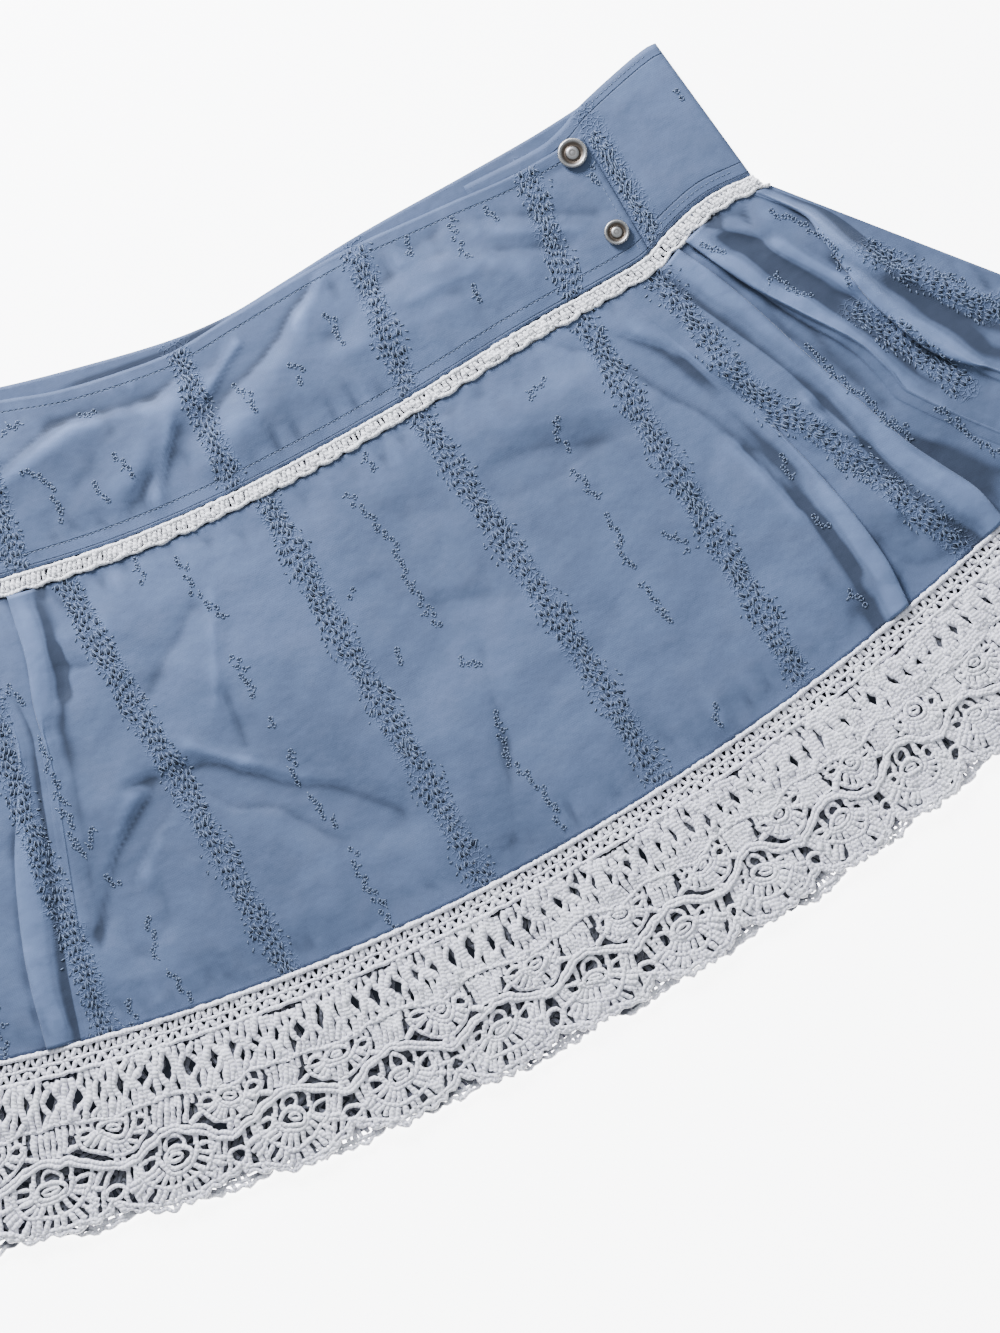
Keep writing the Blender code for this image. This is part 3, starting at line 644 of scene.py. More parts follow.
def finish_paint(paint, sockets, bumps):
    """The surface shader and its bumps. A bump is a height in metres and its strength."""
    normal = None
    for height, strength in bumps:
        inputs = {"Height": height, "Strength": strength, "Distance": 1.0}
        if normal:
            inputs["Normal"] = normal
        normal = paint.add("ShaderNodeBump", {}, inputs)
    if normal:
        sockets["Normal"] = normal
    shader = paint.add("ShaderNodeBsdfPrincipled", {}, sockets)
    paint.add("ShaderNodeOutputMaterial", {}, {"Surface": shader})


def band(value, middle, half):
    """1 where a value is at a band's middle, 0 at its sides."""
    return value.above(middle - half, middle) * (1.0 - value.above(middle, middle + half))


def cloth_paint(name, colour):
    """Washed blue cotton: woven, softly crumpled and uneven in its dye, with painted shade in its folds and strips and
    painted highlights on its ridges, crumples and strips.
    """
    material, paint = make_paint(name)
    place = paint.object_place()
    broad = paint.speckle(place, 9.0, 3.0)
    fine = paint.speckle(place, 140.0, 4.0, 0.62)
    thread = paint.speckle(place, 1600.0, 2.0)
    crumples = paint.speckle(paint.add("ShaderNodeMapping", {}, {"Vector": place, "Rotation": (0, 0, 0.5),
                                                                 "Scale": (1.0, 1.25, 1.0)}), 62.0, 2.0, 0.5)
    hollow, worked = paint.attribute("hollow"), paint.attribute("worked")
    tone = paint.blend(shade(colour, 0.84), shade(colour, 1.12), broad.above(0.35, 0.65))
    # A painted sheen, lighter and more lavender, where the crumples stand highest
    tone = paint.blend(tone, shade((colour[0] * 1.5, colour[1] * 1.35, colour[2] * 1.25), 1.0),
                       crumples.above(0.45, 0.75) * 0.22)
    tone = paint.blend(tone, shade(colour, 1.3), fine.above(0.4, 0.8) * 0.3)
    tone = paint.blend(tone, shade(colour, 0.6), thread.above(0.45, 0.75) * 0.25)
    # Painted shade where the cloth lies below its neighbours, and a painted highlight where it stands above them
    tone = paint.blend(tone, shade(colour, 0.26), hollow.above(0.04, 1.15) * 0.9)
    tone = paint.blend(tone, shade(colour, 1.8), (hollow * -1.0).above(0.05, 1.3) * 0.6)
    seam = (band(paint.attribute("to_waist"), TOPSTITCH_WAIST, 0.55)
            + band(paint.attribute("to_seam"), TOPSTITCH_SEAM, 0.55)
            + band(paint.attribute("to_seam"), 1.7, 0.5))
    tone = paint.blend(tone, shade(colour, 0.4), seam * 0.75)
    cells = paint.add("ShaderNodeTexVoronoi", {"feature": "DISTANCE_TO_EDGE"}, {"Vector": place, "Scale": 420.0})
    netting = worked * (1.0 - cells.above(0.02, 0.16))
    # Painted shade in the hollows of the strips' net, and a painted highlight on its raised threads
    tone = paint.blend(tone, shade(colour, 0.6), worked * cells.above(0.08, 0.3) * 0.4)
    tone = paint.blend(tone, shade(colour, 1.3), netting * 0.3)
    weave = paint.add("ShaderNodeTexWave", {"wave_type": "BANDS", "bands_direction": "X"},
                      {"Vector": place, "Scale": 320.0, "Distortion": 0.6, "Detail": 1.0})
    weft = paint.add("ShaderNodeTexWave", {"wave_type": "BANDS", "bands_direction": "Y"},
                     {"Vector": place, "Scale": 320.0, "Distortion": 0.6, "Detail": 1.0})
    finish_paint(paint, {"Base Color": tone, "Roughness": 0.62 + fine * 0.2, "Sheen Weight": 0.15,
                         "Sheen Roughness": 0.45, "Specular IOR Level": 0.28},
                 ((crumples * (1.4 * MM), 0.6), (fine * (0.4 * MM), 0.5), ((weave + weft) * (0.05 * MM), 0.3),
                  (netting * (0.8 * MM), 0.7), (seam * (-0.7 * MM), 0.6)))
    return material


def thread_paint(name, colour):
    """Embroidery floss: satin, with a fine lengthwise grain and painted shade on the lower half of each stitch."""
    material, paint = make_paint(name)
    place = paint.object_place()
    grain = paint.speckle(place, 900.0, 3.0)
    tone = paint.blend(shade(colour, 0.85), shade(colour, 1.2), grain.above(0.3, 0.7))
    # Painted shade on the lower half of each stitch, by its height in the bead
    tone = paint.blend(shade(colour, 0.22), tone, paint.attribute("rise").above(0.0, 0.75))
    finish_paint(paint, {"Base Color": tone, "Roughness": 0.55, "Sheen Weight": 0.2}, ((grain * (0.15 * MM), 0.5),))
    return material


def yarn_paint(name, colour, ply, twist, low, high):
    """Crochet cotton: plies that wind round the strand, matte and fuzzy, with painted shade that fades out between two
    heights, left off where bare.
    """
    material, paint = make_paint(name)
    place = paint.object_place()
    run, around = paint.attribute("yarn_run"), paint.attribute("yarn_around")
    wind = ((run * (math.tau / ply) + around * (math.tau * twist)).sine() * 0.5 + 0.5)
    fuzz = paint.speckle(place, 700.0, 4.0, 0.65)
    soft = paint.speckle(place, 55.0, 2.0)
    tone = paint.blend(shade(colour, 0.72), shade(colour, 1.12), wind.above(-0.1, 0.55))
    tone = paint.blend(tone, shade(colour, 0.84), fuzz.above(0.42, 0.72) * 0.5)
    tone = paint.blend(tone, shade(colour, 1.2), soft.above(0.4, 0.75) * 0.4)
    # Painted shade on the strands by their height: full past low, none past high, and none where bare
    height = paint.add("ShaderNodeSeparateXYZ", {}, {"Vector": place}, 2)
    depth = 1.0 - height.above(low * MM, high * MM)
    tone = paint.blend(tone, shade(YARN_SHADE, 1.0), depth * (1.0 - paint.attribute("bare")) * 0.95)
    finish_paint(paint, {"Base Color": tone, "Roughness": 0.86, "Sheen Weight": 0.3, "Sheen Roughness": 0.6,
                         "Specular IOR Level": 0.2}, ((wind * (0.5 * MM), 0.45), (fuzz * (0.6 * MM), 0.6)))
    return material


def metal_paint(name, colour, patina):
    """Antique nickel, worn bright on its edges and brown in its ring."""
    material, paint = make_paint(name)
    place = paint.object_place()
    worn = paint.speckle(place, 900.0, 4.0, 0.6)
    dull = paint.speckle(place, 160.0, 3.0)
    ring = paint.attribute("patina")
    tone = paint.blend(shade(colour, 1.0), shade(patina, 1.0), (ring * 0.75 + dull * 0.3).above(0.25, 0.85))
    tone = paint.blend(tone, shade(colour, 0.6), worn.above(0.5, 0.8) * 0.5)
    finish_paint(paint, {"Base Color": tone, "Metallic": 1.0, "Roughness": 0.34 + dull * 0.25},
                 ((worn * (0.08 * MM), 0.4),))
    return material


def plain_paint(name, colour, rough):
    material, paint = make_paint(name)
    place = paint.object_place()
    grain = paint.speckle(place, 420.0, 2.0)
    tone = paint.blend(shade(colour, 0.85), shade(colour, 1.15), grain.above(0.3, 0.7))
    finish_paint(paint, {"Base Color": tone, "Roughness": rough}, ())
    return material


def floor_paint(name, colour):
    """A pale floor, lit so evenly that it looks near white."""
    material, paint = make_paint(name)
    finish_paint(paint, {"Base Color": shade(colour, 1.0), "Roughness": 0.95, "Emission Color": (1, 1, 1, 1),
                         "Emission Strength": FLOOR_GLOW}, ())
    return material


def place_point(x, y, z):
    return x * MM, (y + SEWING_ORIGIN_Y) * MM, z * MM


def link(name, data):
    """A new object in the scene, with this data."""
    piece = bpy.data.objects.new(name, data)
    bpy.context.scene.collection.objects.link(piece)
    return piece


def make_piece(name, vertices, faces, material):
    mesh = bpy.data.meshes.new(name)
    mesh.from_pydata(vertices, [], faces)
    mesh.shade_smooth()
    mesh.materials.append(material)
    return link(name, mesh)


def blurred(heights, columns, rows, reach):
    """The heights of a grid, each the mean of those within reach of it."""
    def run(line):
        total, sums = 0.0, [0.0]
        for value in line:
            total += value
            sums.append(total)
        last = len(line)
        return [(sums[min(n + reach + 1, last)] - sums[max(n - reach, 0)])
                / (min(n + reach + 1, last) - max(n - reach, 0)) for n in range(last)]

    lines = [run(heights[row * columns:(row + 1) * columns]) for row in range(rows)]
    stacks = [run([line[column] for line in lines]) for column in range(columns)]
    return [stacks[column][row] for row in range(rows) for column in range(columns)]


def store(mesh, name, values):
    mesh.attributes.new(name, "FLOAT", "POINT").data.foreach_set("value", values)


def worked_part(lines, x, y):
    """How much a place lies in an eyelet strip, 1 at its middle line and 0 past its spurs."""
    nearest = math.inf
    for line in lines:
        for (x1, y1), (x2, y2) in zip(line, line[1:]):
            run_x, run_y = x2 - x1, y2 - y1
            part = min(max(((x - x1) * run_x + (y - y1) * run_y) / (run_x ** 2 + run_y ** 2), 0.0), 1.0)
            nearest = min(nearest, math.hypot(x - x1 - part * run_x, y - y1 - part * run_y))
    return 1 - smooth((nearest - STRIP_HALF) / STRIP_FADE)


def no_shadow(x, y):
    return 0.0


def make_cloth(name, columns, rows, place, material, thickness, strips, shadow=no_shadow):
    """A thin cloth shell: a grid placed by column and row, its faces up, given its thickness."""
    places = [place(column, row) for row in range(rows) for column in range(columns)]
    vertices = [place_point(*spot) for spot in places]
    faces = [(row * columns + column, (row + 1) * columns + column, (row + 1) * columns + column + 1,
              row * columns + column + 1) for row in range(rows - 1) for column in range(columns - 1)]
    piece = make_piece(name, vertices, faces, material)
    heights = [spot[2] for spot in places]
    near = blurred(heights, columns, rows, NEAR_REACH)
    far = blurred(heights, columns, rows, FAR_REACH)
    # How far each point lies below its neighbours, plus any painted shadow, for the shade and the highlight painted on
    # the cloth
    hollows = [(a - z) / NEAR_DROP + (b - z) / FAR_DROP + shadow(x, y) for (x, y, z), a, b in zip(places, near, far)]
    store(piece.data, "hollow", hollows)
    store(piece.data, "worked", [worked_part(strips, x, y) for x, y, z in places])
    solidify = piece.modifiers.new("thickness", "SOLIDIFY")
    solidify.thickness = thickness
    solidify.offset = 0.0
    return piece


def store_edge_distances(piece, point, columns, rows):
    """Store how far each point of a panel lies from its waist edge and from its seam, in millimetres."""
    to_waist, to_seam = [], []
    for row in range(rows):
        for column in range(columns):
            part, down = column / (columns - 1), row / (rows - 1)
            depth = math.dist(point(part, 0.0), point(part, 1.0))
            to_waist.append(depth * down)
            to_seam.append(depth * (1 - down))
    store(piece.data, "to_waist", to_waist)
    store(piece.data, "to_seam", to_seam)


def panel_area(piece):
    return sum(polygon.area for polygon in piece.data.polygons)


def hand_over(piece, slot, *nodes):
    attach(piece, BODY)
    if nodes:
        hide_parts(*nodes)


def make_group(name, sockets):
    """A geometry tree with a mesh going in and a mesh coming out, and named inputs beside it."""
    group = bpy.data.node_groups.new(name, "GeometryNodeTree")
    group.interface.new_socket("Mesh", in_out="INPUT", socket_type="NodeSocketGeometry")
    for label, kind in sockets:
        group.interface.new_socket(label, in_out="INPUT", socket_type=kind)
    group.interface.new_socket("Mesh", in_out="OUTPUT", socket_type="NodeSocketGeometry")
    tree = Tree(group)
    start = group.nodes.new("NodeGroupInput")
    given = {socket.name: Value(tree, socket) for socket in start.outputs if socket.name}
    return group, tree, given


def make_yarn_group():
    """Strands of yarn along the edges of a mesh, by the radius of each point."""
    group, tree, given = make_group("yarn", (("Segment", "NodeSocketFloat"), ("Sides", "NodeSocketInt"),
                                             ("Wobble", "NodeSocketFloat"), ("Material", "NodeSocketMaterial")))
    curve = tree.add("GeometryNodeMeshToCurve", {}, {"Mesh": given["Mesh"]})
    curve = tree.add("GeometryNodeResampleCurve", {"mode": "LENGTH"}, {"Curve": curve, "Length": given["Segment"]})
    where = tree.add("GeometryNodeInputPosition")
    shiver = tree.add("ShaderNodeTexNoise", {}, {"Vector": where, "Scale": 330.0, "Detail": 1.0}, 1)
    shiver = tree.add("ShaderNodeVectorMath", {"operation": "SUBTRACT"}, {0: shiver, 1: (0.5, 0.5, 0.5)})
    shiver = tree.add("ShaderNodeVectorMath", {"operation": "SCALE"}, {0: shiver, "Scale": given["Wobble"]})
    curve = tree.add("GeometryNodeSetPosition", {}, {"Geometry": curve, "Offset": shiver})
    radius = tree.named("yarn_radius")
    lumps = tree.add("ShaderNodeTexNoise", {}, {"Vector": where, "Scale": 520.0, "Detail": 1.0})
    length = tree.add("GeometryNodeSplineParameter", {}, {}, 1)
    curve = tree.keep(curve, "yarn_run", length)
    profile = tree.add("GeometryNodeCurvePrimitiveCircle", {"mode": "RADIUS"}, {"Resolution": given["Sides"],
                                                                               "Radius": 1.0})
    turn = tree.add("GeometryNodeSplineParameter", {}, {}, 0)
    profile = tree.keep(profile, "yarn_around", turn)
    mesh = tree.add("GeometryNodeCurveToMesh", {}, {"Curve": curve, "Profile Curve": profile, "Fill Caps": True,
                                                    "Scale": radius * (lumps * 1.6 + 0.3)})
    mesh = tree.add("GeometryNodeSetShadeSmooth", {}, {"Geometry": mesh})
    mesh = tree.add("GeometryNodeRealizeInstances", {}, {"Geometry": mesh})
    mesh = tree.add("GeometryNodeSetMaterial", {}, {"Geometry": mesh, "Material": given["Material"]})
    tree.add("NodeGroupOutput", {}, {"Mesh": mesh})
    return group


def make_stitch_group():
    """A small bead of thread at each point of a mesh, turned and sized by the point."""
    group, tree, given = make_group("stitches", (("Segments", "NodeSocketInt"), ("Rings", "NodeSocketInt"),
                                                 ("Material", "NodeSocketMaterial")))
    bead = tree.add("GeometryNodeMeshUVSphere", {}, {"Segments": given["Segments"], "Rings": given["Rings"],
                                                     "Radius": 1.0})
    # The height within each bead, kept for the shade painted on the lower half of each stitch
    rise = tree.add("ShaderNodeSeparateXYZ", {}, {"Vector": tree.add("GeometryNodeInputPosition")}, 2)
    bead = tree.keep(bead, "rise", rise)
    turn = tree.add("FunctionNodeEulerToRotation", {}, {"Euler": tree.named("turn", "FLOAT_VECTOR")})
    size = tree.named("size", "FLOAT_VECTOR")
    mesh = tree.add("GeometryNodeInstanceOnPoints", {}, {"Points": given["Mesh"], "Instance": bead, "Rotation": turn,
                                                         "Scale": size})
    mesh = tree.add("GeometryNodeRealizeInstances", {}, {"Geometry": mesh})
    mesh = tree.add("GeometryNodeSetShadeSmooth", {}, {"Geometry": mesh})
    mesh = tree.add("GeometryNodeSetMaterial", {}, {"Geometry": mesh, "Material": given["Material"]})
    tree.add("NodeGroupOutput", {}, {"Mesh": mesh})
    return group


def grow(source, group, values):
    """The mesh that a geometry tree makes of a source, as a plain piece in its place."""
    modifier = source.modifiers.new("grow", "NODES")
    modifier.node_group = group
    sockets = {item.name: item.identifier for item in group.interface.items_tree if item.in_out == "INPUT"}
    for label, value in values.items():
        modifier[sockets[label]] = value
    evaluated = source.evaluated_get(bpy.context.evaluated_depsgraph_get())
    mesh = bpy.data.meshes.new_from_object(evaluated)
    name = source.name
    old = source.data
    bpy.data.objects.remove(source)
    bpy.data.meshes.remove(old)
    mesh.name = name
    return link(name, mesh)


Strand = namedtuple("Strand", "points radius")


def past_front_hem(x, y):
    """1 where a place of the back lace shows past the scallops of the front lace, 0 where it lies under them."""
    hem = arc_height(LACE_BOTTOM, x)
    if y > hem + FAN_INDENT + 3:
        return 0.0
    return smooth((hem + LACE_DEPTH - fan_depth(fan_bounds(), x / LACE_BOTTOM_HALF, 0.0) + 0.8 - y) / 1.2)


def make_yarn(name, strands, group, segment, sides, wobble, material, rest):
    """A piece of yarn from strands, each a run of points and a radius in millimetres, flat at its rest height."""
    vertices, edges, radii, bare = [], [], [], []
    for strand in strands:
        first = len(vertices)
        vertices.extend(place_point(*point) for point in strand.points)
        edges.extend((n, n + 1) for n in range(first, len(vertices) - 1))
        radii.extend([strand.radius * MM] * len(strand.points))
        bare.extend(past_front_hem(x, y) for x, y, z in strand.points)
    mesh = bpy.data.meshes.new(name)
    mesh.from_pydata(vertices, edges, [])
    store(mesh, "yarn_radius", radii)
    # Where the back lace shows past the front's scallops, the shade painted on its yarn is left off
    store(mesh, "bare", bare)
    source = link(name, mesh)
    piece = grow(source, group, {"Segment": segment * MM, "Sides": sides, "Wobble": wobble * MM, "Material": material})
    for vertex in piece.data.vertices:
        vertex.co.z = max(vertex.co.z, rest * MM)
    return piece


Stitch = namedtuple("Stitch", "x y angle length width height lift")


def make_stitches(name, stitches, ground, group, segments, rings, material):
    """Stitches laid on the ground under them, each by its place, angle, length, width, height and lift."""
    points, turns, sizes = [], [], []
    for stitch in stitches:
        spot, normal, face, distance = ground.ray_cast(Vector(place_point(stitch.x, stitch.y, 60)), Vector((0, 0, -1)))
        if spot is None or normal.z < 0.2:
            continue
        run = Vector((math.cos(stitch.angle), math.sin(stitch.angle), 0.0))
        run = (run - normal * run.dot(normal)).normalized()
        turned = Matrix((run, normal.cross(run), normal)).transposed()
        points.append(spot + normal * (stitch.lift * MM))
        turns.extend(turned.to_euler())
        sizes.extend((stitch.length / 2 * MM, stitch.width / 2 * MM, stitch.height / 2 * MM))
    mesh = bpy.data.meshes.new(name)
    mesh.from_pydata(points, [], [])
    for label, values in (("turn", turns), ("size", sizes)):
        mesh.attributes.new(label, "FLOAT_VECTOR", "POINT").data.foreach_set("vector", values)
    return grow(link(name, mesh), group, {"Segments": segments, "Rings": rings, "Material": material})


def ground_of(pieces, thickness):
    """What a stitch lands on: the upper side of the cloth of these pieces."""
    vertices, faces = [], []
    for piece in pieces:
        first = len(vertices)
        vertices.extend(vertex.co + vertex.normal * (thickness / 2) for vertex in piece.data.vertices)
        faces.extend(tuple(first + n for n in polygon.vertices) for polygon in piece.data.polygons)
    return BVHTree.FromPolygons(vertices, faces)


def line_points(stations, step):
    """Points every step along a smooth line through x and y stations, each with its angle and distance."""
    count = len(stations)
    param = [(n, *station) for n, station in enumerate(stations)]
    samples = range(LINE_SAMPLES + 1)
    if count > 2:
        fine = [through(param, n * (count - 1) / LINE_SAMPLES)[1:] for n in samples]
    else:
        fine = [tuple(mix(a, b, n / LINE_SAMPLES) for a, b in zip(*stations)) for n in samples]
    points, gone, wanted = [], 0.0, 0.0
    for one, two in zip(fine, fine[1:]):
        length = math.dist(one, two)
        while wanted <= gone + length:
            part = (wanted - gone) / length
            angle = math.atan2(two[1] - one[1], two[0] - one[0])
            points.append((mix(one[0], two[0], part), mix(one[1], two[1], part), angle, wanted))
            wanted += step
        gone += length
    return points


def eyelet(x, y, angle, length, width, chance):
    """A slit, a flat dark disc of painted shade where the cloth is cut open, with a raised thread along each side,
    worked a little longer than the slit.
    """
    slit = Stitch(x, y, angle, length, width, 0.3, 0.02)
    threads = []
    for side in (-1, 1):
        away = side * (width / 2 + 0.3)
        threads.append(Stitch(x - math.sin(angle) * away, y + math.cos(angle) * away,
                              angle + side * chance.uniform(-0.12, 0.22), length * chance.uniform(1.15, 1.5),
                              chance.uniform(0.6, 0.85), chance.uniform(0.8, 1.2), 0.08))
    return slit, threads


def strip_stitches(line, width, chance):
    """Slits and raised threads of one eyelet strip: a net of slits that widens and narrows, with spurs outside."""
    slits, bars = [], []
    spots = line_points(line, 0.1)
    length = spots[-1][3]
    phase = chance.uniform(0, math.tau)

    def at(side, run):
        x, y, angle, _ = spots[min(max(int(run * 10), 0), len(spots) - 1)]
        pulse = 0.95 + 0.25 * math.sin(run / 41 * math.tau + phase) + 0.12 * math.sin(run / 7 + 2 * phase)
        side = width * (side * pulse + 0.8 * math.sin(run / 23 + phase))
        return x - math.sin(angle) * side, y + math.cos(angle) * side, angle

    for column in range(-2, 3):
        run = 2.2 * (column % 2) + chance.uniform(0, 1.5)
        keep = 0.97 if abs(column) < 2 else 0.55
        while run < length:
            x, y, angle = at(2.05 * column + chance.uniform(-0.5, 0.5), run)
            lean = angle + chance.uniform(-0.34, 0.34) * (1 + abs(column) / 2)
            if chance.random() < keep:
                slit, threads = eyelet(x, y, lean, chance.uniform(1.8, 3.7), chance.uniform(1.1, 1.8), chance)
                slits.append(slit)
                bars.extend(threads)
            run += chance.uniform(3.6, 5.4)
    for side in (-1, 1):
        run = 0.0
        while run < length:
            x, y, angle = at(side * chance.uniform(4.6, 6.9), run)
            lean = angle + side * chance.uniform(0.4, 1.6)
            bars.append(Stitch(x, y, lean, chance.uniform(1.4, 3.0), 0.7, 0.9, 0.06))
            if chance.random() < 0.4:
                slits.append(Stitch(x + chance.uniform(-1, 1), y + chance.uniform(-1, 1), lean, 1.4, 0.8, 0.3, 0.02))
            run += chance.uniform(2.0, 5.0)
    return slits, bars


def sprig_stitches(line, chance):
    """A sprig: small dots of painted shade along its line, each ringed with raised thread, some with a short leaf
    beside them.
    """
    slits, bars = [], []
    spots = line_points(line, 0.5)
    run = 0.0
    while run < spots[-1][3]:
        x, y, angle, _ = spots[min(int(run * 2), len(spots) - 1)]
        side = chance.uniform(-1.9, 1.9)
        x, y = x - math.sin(angle) * side, y + math.cos(angle) * side
        turn = chance.uniform(0, math.tau)
        slits.append(Stitch(x, y, turn, chance.uniform(1.0, 1.7), chance.uniform(0.8, 1.1), 0.3, 0.03))
        for n in range(4):
            around = turn + n * math.tau / 4
            bars.append(Stitch(x + 1.05 * math.cos(around), y + 1.05 * math.sin(around), around + math.pi / 2,
                               chance.uniform(1.5, 2.1), 0.7, 0.9, 0.05))
        if chance.random() < 0.5:
            bars.append(Stitch(x + 2.2 * math.cos(turn), y + 2.2 * math.sin(turn), turn, chance.uniform(1.6, 2.6), 0.8,
                               0.8, 0.05))
        run += chance.uniform(1.9, 3.6)
    return slits, bars


def embroidery(strips, sprigs, seed):
    """Slits and raised threads of the strips, each a line and a width against the usual one, and of the sprigs."""
    chance = random.Random(seed)
    slits, bars = [], []
    works = [strip_stitches(line, width, chance) for line, width in strips]
    works += [sprig_stitches(line, chance) for line in sprigs]
    for more_slits, more_bars in works:
        slits.extend(more_slits)
        bars.extend(more_bars)
    return slits, bars


def seam_stitches(points):
    """Topstitching along a run of x and y points."""
    return [Stitch(x, y, angle, STITCH_LENGTH, 0.42, 0.42, 0.03)
            for x, y, angle, _ in line_points(points, STITCH_PITCH)]


def in_yoke(stitch):
    """Whether a stitch lies between the waist and the yoke seam, clear of both."""
    seam, waist = along(SEAM_FRONT, stitch.x), along(WAIST_FRONT, min(stitch.x, WAIST_FRONT[-1][0]))
    return seam + 1.5 < stitch.y < waist - 1.5


def rail(down_mm, radius, height, wave=0.0):
    """A cord along the whole lace at a depth."""
    count = int(2 * LACE_TOP_HALF / RAIL_STEP)
    points = []
    for n in range(count + 1):
        across = 2 * n / count - 1
        x, y = lace_point(across, (down_mm + wave * math.sin(n * 1.3)) / LACE_DEPTH)
        points.append((x, y, height + 0.15 * math.sin(n * 0.9)))
    return Strand(points, radius)


def stitch_row(top, bottom, pitch, radius, level, lean, chance):
    """A row of short upright stitches between two depths."""
    count = int(2 * LACE_TOP_HALF / pitch)
    strands = []
    for n in range(count):
        across = 2 * (n + 0.5) / count - 1
        slant = (lean if n % 2 else -lean) * pitch / LACE_TOP_HALF + chance.uniform(-0.0006, 0.0006)
        shift = chance.uniform(-0.3, 0.3)
        points = [(*lace_point(across - slant, (top + shift) / LACE_DEPTH), level - 0.3),
                  (*lace_point(across, (top + bottom) / 2 / LACE_DEPTH), level + 0.35),
                  (*lace_point(across + slant, (bottom + shift) / LACE_DEPTH), level - 0.3)]
        strands.append(Strand(points, radius * chance.uniform(0.88, 1.12)))
    return strands


class Repeat:
    """One lace repeat: places points by u across the repeat and v, millimetres down the lace."""

    def __init__(self, start, end, shift, drop, level, holes):
        self.start = start + (end - start) * shift
        self.pitch = end - start
        self.drop = drop
        self.level = level
        self.holes = holes

    def inside(self, u):
        return abs(self.start + self.pitch * u) < 0.995

    def point(self, u, v, height=0.0):
        x, y = lace_point(self.start + self.pitch * u, v / LACE_DEPTH)
        loose = smooth(v / 12)
        broad, small = Vector((x / 17, y / 17, self.level)), Vector((x / 8, y / 8, self.level + 5))
        stray = noise.noise_vector(broad) * (2.4 * loose) + noise.noise_vector(small) * (2.1 * loose)
        return x + stray.x, y + stray.y - self.drop * v / LACE_DEPTH, self.level + height + 0.3 * stray.z

    def open_at(self, u, v, margin):
        """Whether a place is in an opening, or within margin of it."""
        for hole in self.holes:
            for turn in (-1, 0, 1):
                across = (u - hole.across + turn) * REPEAT_WIDTH
                down = v - hole.down * LACE_DEPTH
                if math.hypot(across / (hole.width / 2 + margin), down / (hole.height / 2 + margin)) < 1:
                    return True
        return False

    def strand(self, places, radius, keeps_clear=True):
        """A strand through u, v and height places, left out where it would cross an opening or pass the ends."""
        middle = places[len(places) // 2]
        if keeps_clear and self.open_at(middle[0], middle[1], 0.2):
            return []
        if not all(self.inside(u) for u, v, height in places):
            return []
        return [Strand([self.point(*place) for place in places], radius)]


def ridge_depth(u):
    """Depth of the wavy double cord between the upper shells and the lower fans."""
    return 61.0 - 10.0 * smooth(1 - abs(2 * (u - math.floor(u)) - 1)) ** 0.8


def edge_depth(u, picot=0.0):
    part = u - math.floor(u)
    return LACE_DEPTH - FAN_INDENT * abs(2 * part - 1) ** FAN_ROUNDNESS - picot


def window_strands(repeat, windows, chance):
    """Long posts in bundles of three that bend round the openings of the row and close above and below them."""
    strands = []
    count = len(windows)
    half = 0.5 / count
    for n in range(count):
        u = n / count + chance.uniform(-0.008, 0.008)
        top, low = chance.uniform(16.5, 20.0), chance.uniform(28.5, 32.0)
        for side in (-1, 0, 1):
            wide = side * half * 0.82
            near = side * half * chance.uniform(0.2, 0.42)
            knee = (wide + near) / 2
            places = [(u + wide * 0.6, 13.2, 0.3), (u + wide, top, 0.6), (u + knee, top + 2.4, 0.4),
                      (u + near, (top + low) / 2, 0.2 + 0.5 * (side == 0)), (u + knee, low - 2.4, 0.4),
                      (u + wide, low, 0.6), (u + wide * 0.8, low + 2.4, 0.4), (u + wide * 0.6, 36.8, 0.2)]
            strands.extend(repeat.strand(places, chance.uniform(1.25, 1.65), False))
        if chance.random() < 0.6:
            across = u + chance.choice((-1, 1)) * half
            places = [(across, 13.4, 0.1), (across, 15.5, 0.5), (across, top - 0.5, 0.1)]
            strands.extend(repeat.strand(places, 1.05, False))
        places = [(u + half, low + 1.2, 0.2), (u + half, low + 3, 0.5), (u + half, 37.0, 0.2)]
        strands.extend(repeat.strand(places, 1.15, False))
    return strands


def ring_strand(repeat, u, v, across, down, radius, height, turns=1.0, start=0.0):
    count = max(8, int((across + down) * 2.2))
    places = []
    for n in range(count + 1):
        turn = start + turns * math.tau * n / count
        places.append((u + across * math.sin(turn) / REPEAT_WIDTH, v + down * math.cos(turn),
                       height + 0.12 * math.sin(3 * turn)))
    if not all(repeat.inside(place[0]) for place in places):
        return []
    return [Strand([repeat.point(*place) for place in places], radius)]


def fan_ribs(repeat, u, v, inner, outer, count, spread, radius, height, limit, chance):
    """Ribs that stand round a hub, from an inner to an outer distance, kept over the limit's depth."""
    strands = []
    for n in range(count):
        turn = mix(-spread, spread, n / (count - 1)) + chance.uniform(-0.025, 0.025)
        ends = []
        for distance in (inner, (inner + outer) / 2, outer):
            across, down = u + distance * math.sin(turn) / REPEAT_WIDTH, v + distance * math.cos(turn)
            ends.append((across, min(down, limit(across)), height + (0.35 if len(ends) == 1 else 0.0)))
        if math.dist(ends[0][:2], ends[-1][:2]) > 2.0:
            strands.extend(repeat.strand(ends, radius * chance.uniform(0.88, 1.1)))
    return strands


def fan_arc(repeat, u, v, distance, spread, radius, height, limit):
    """A cord round a hub, drawn in the stretches that lie clear of the openings."""
    strands, run = [], []
    count = int(distance * 2 * spread / 1.6)
    for n in range(count + 1):
        turn = mix(-spread, spread, n / count)
        across, down = u + distance * math.sin(turn) / REPEAT_WIDTH, v + distance * math.cos(turn)
        clear = repeat.inside(across) and not repeat.open_at(across, down, 0.3) and down < limit(across)
        if clear:
            run.append(repeat.point(across, down, height + 0.15 * math.sin(n * 2.2)))
        if not clear or n == count:
            if len(run) > 2:
                strands.append(Strand(run, radius))
            run = []
    return strands


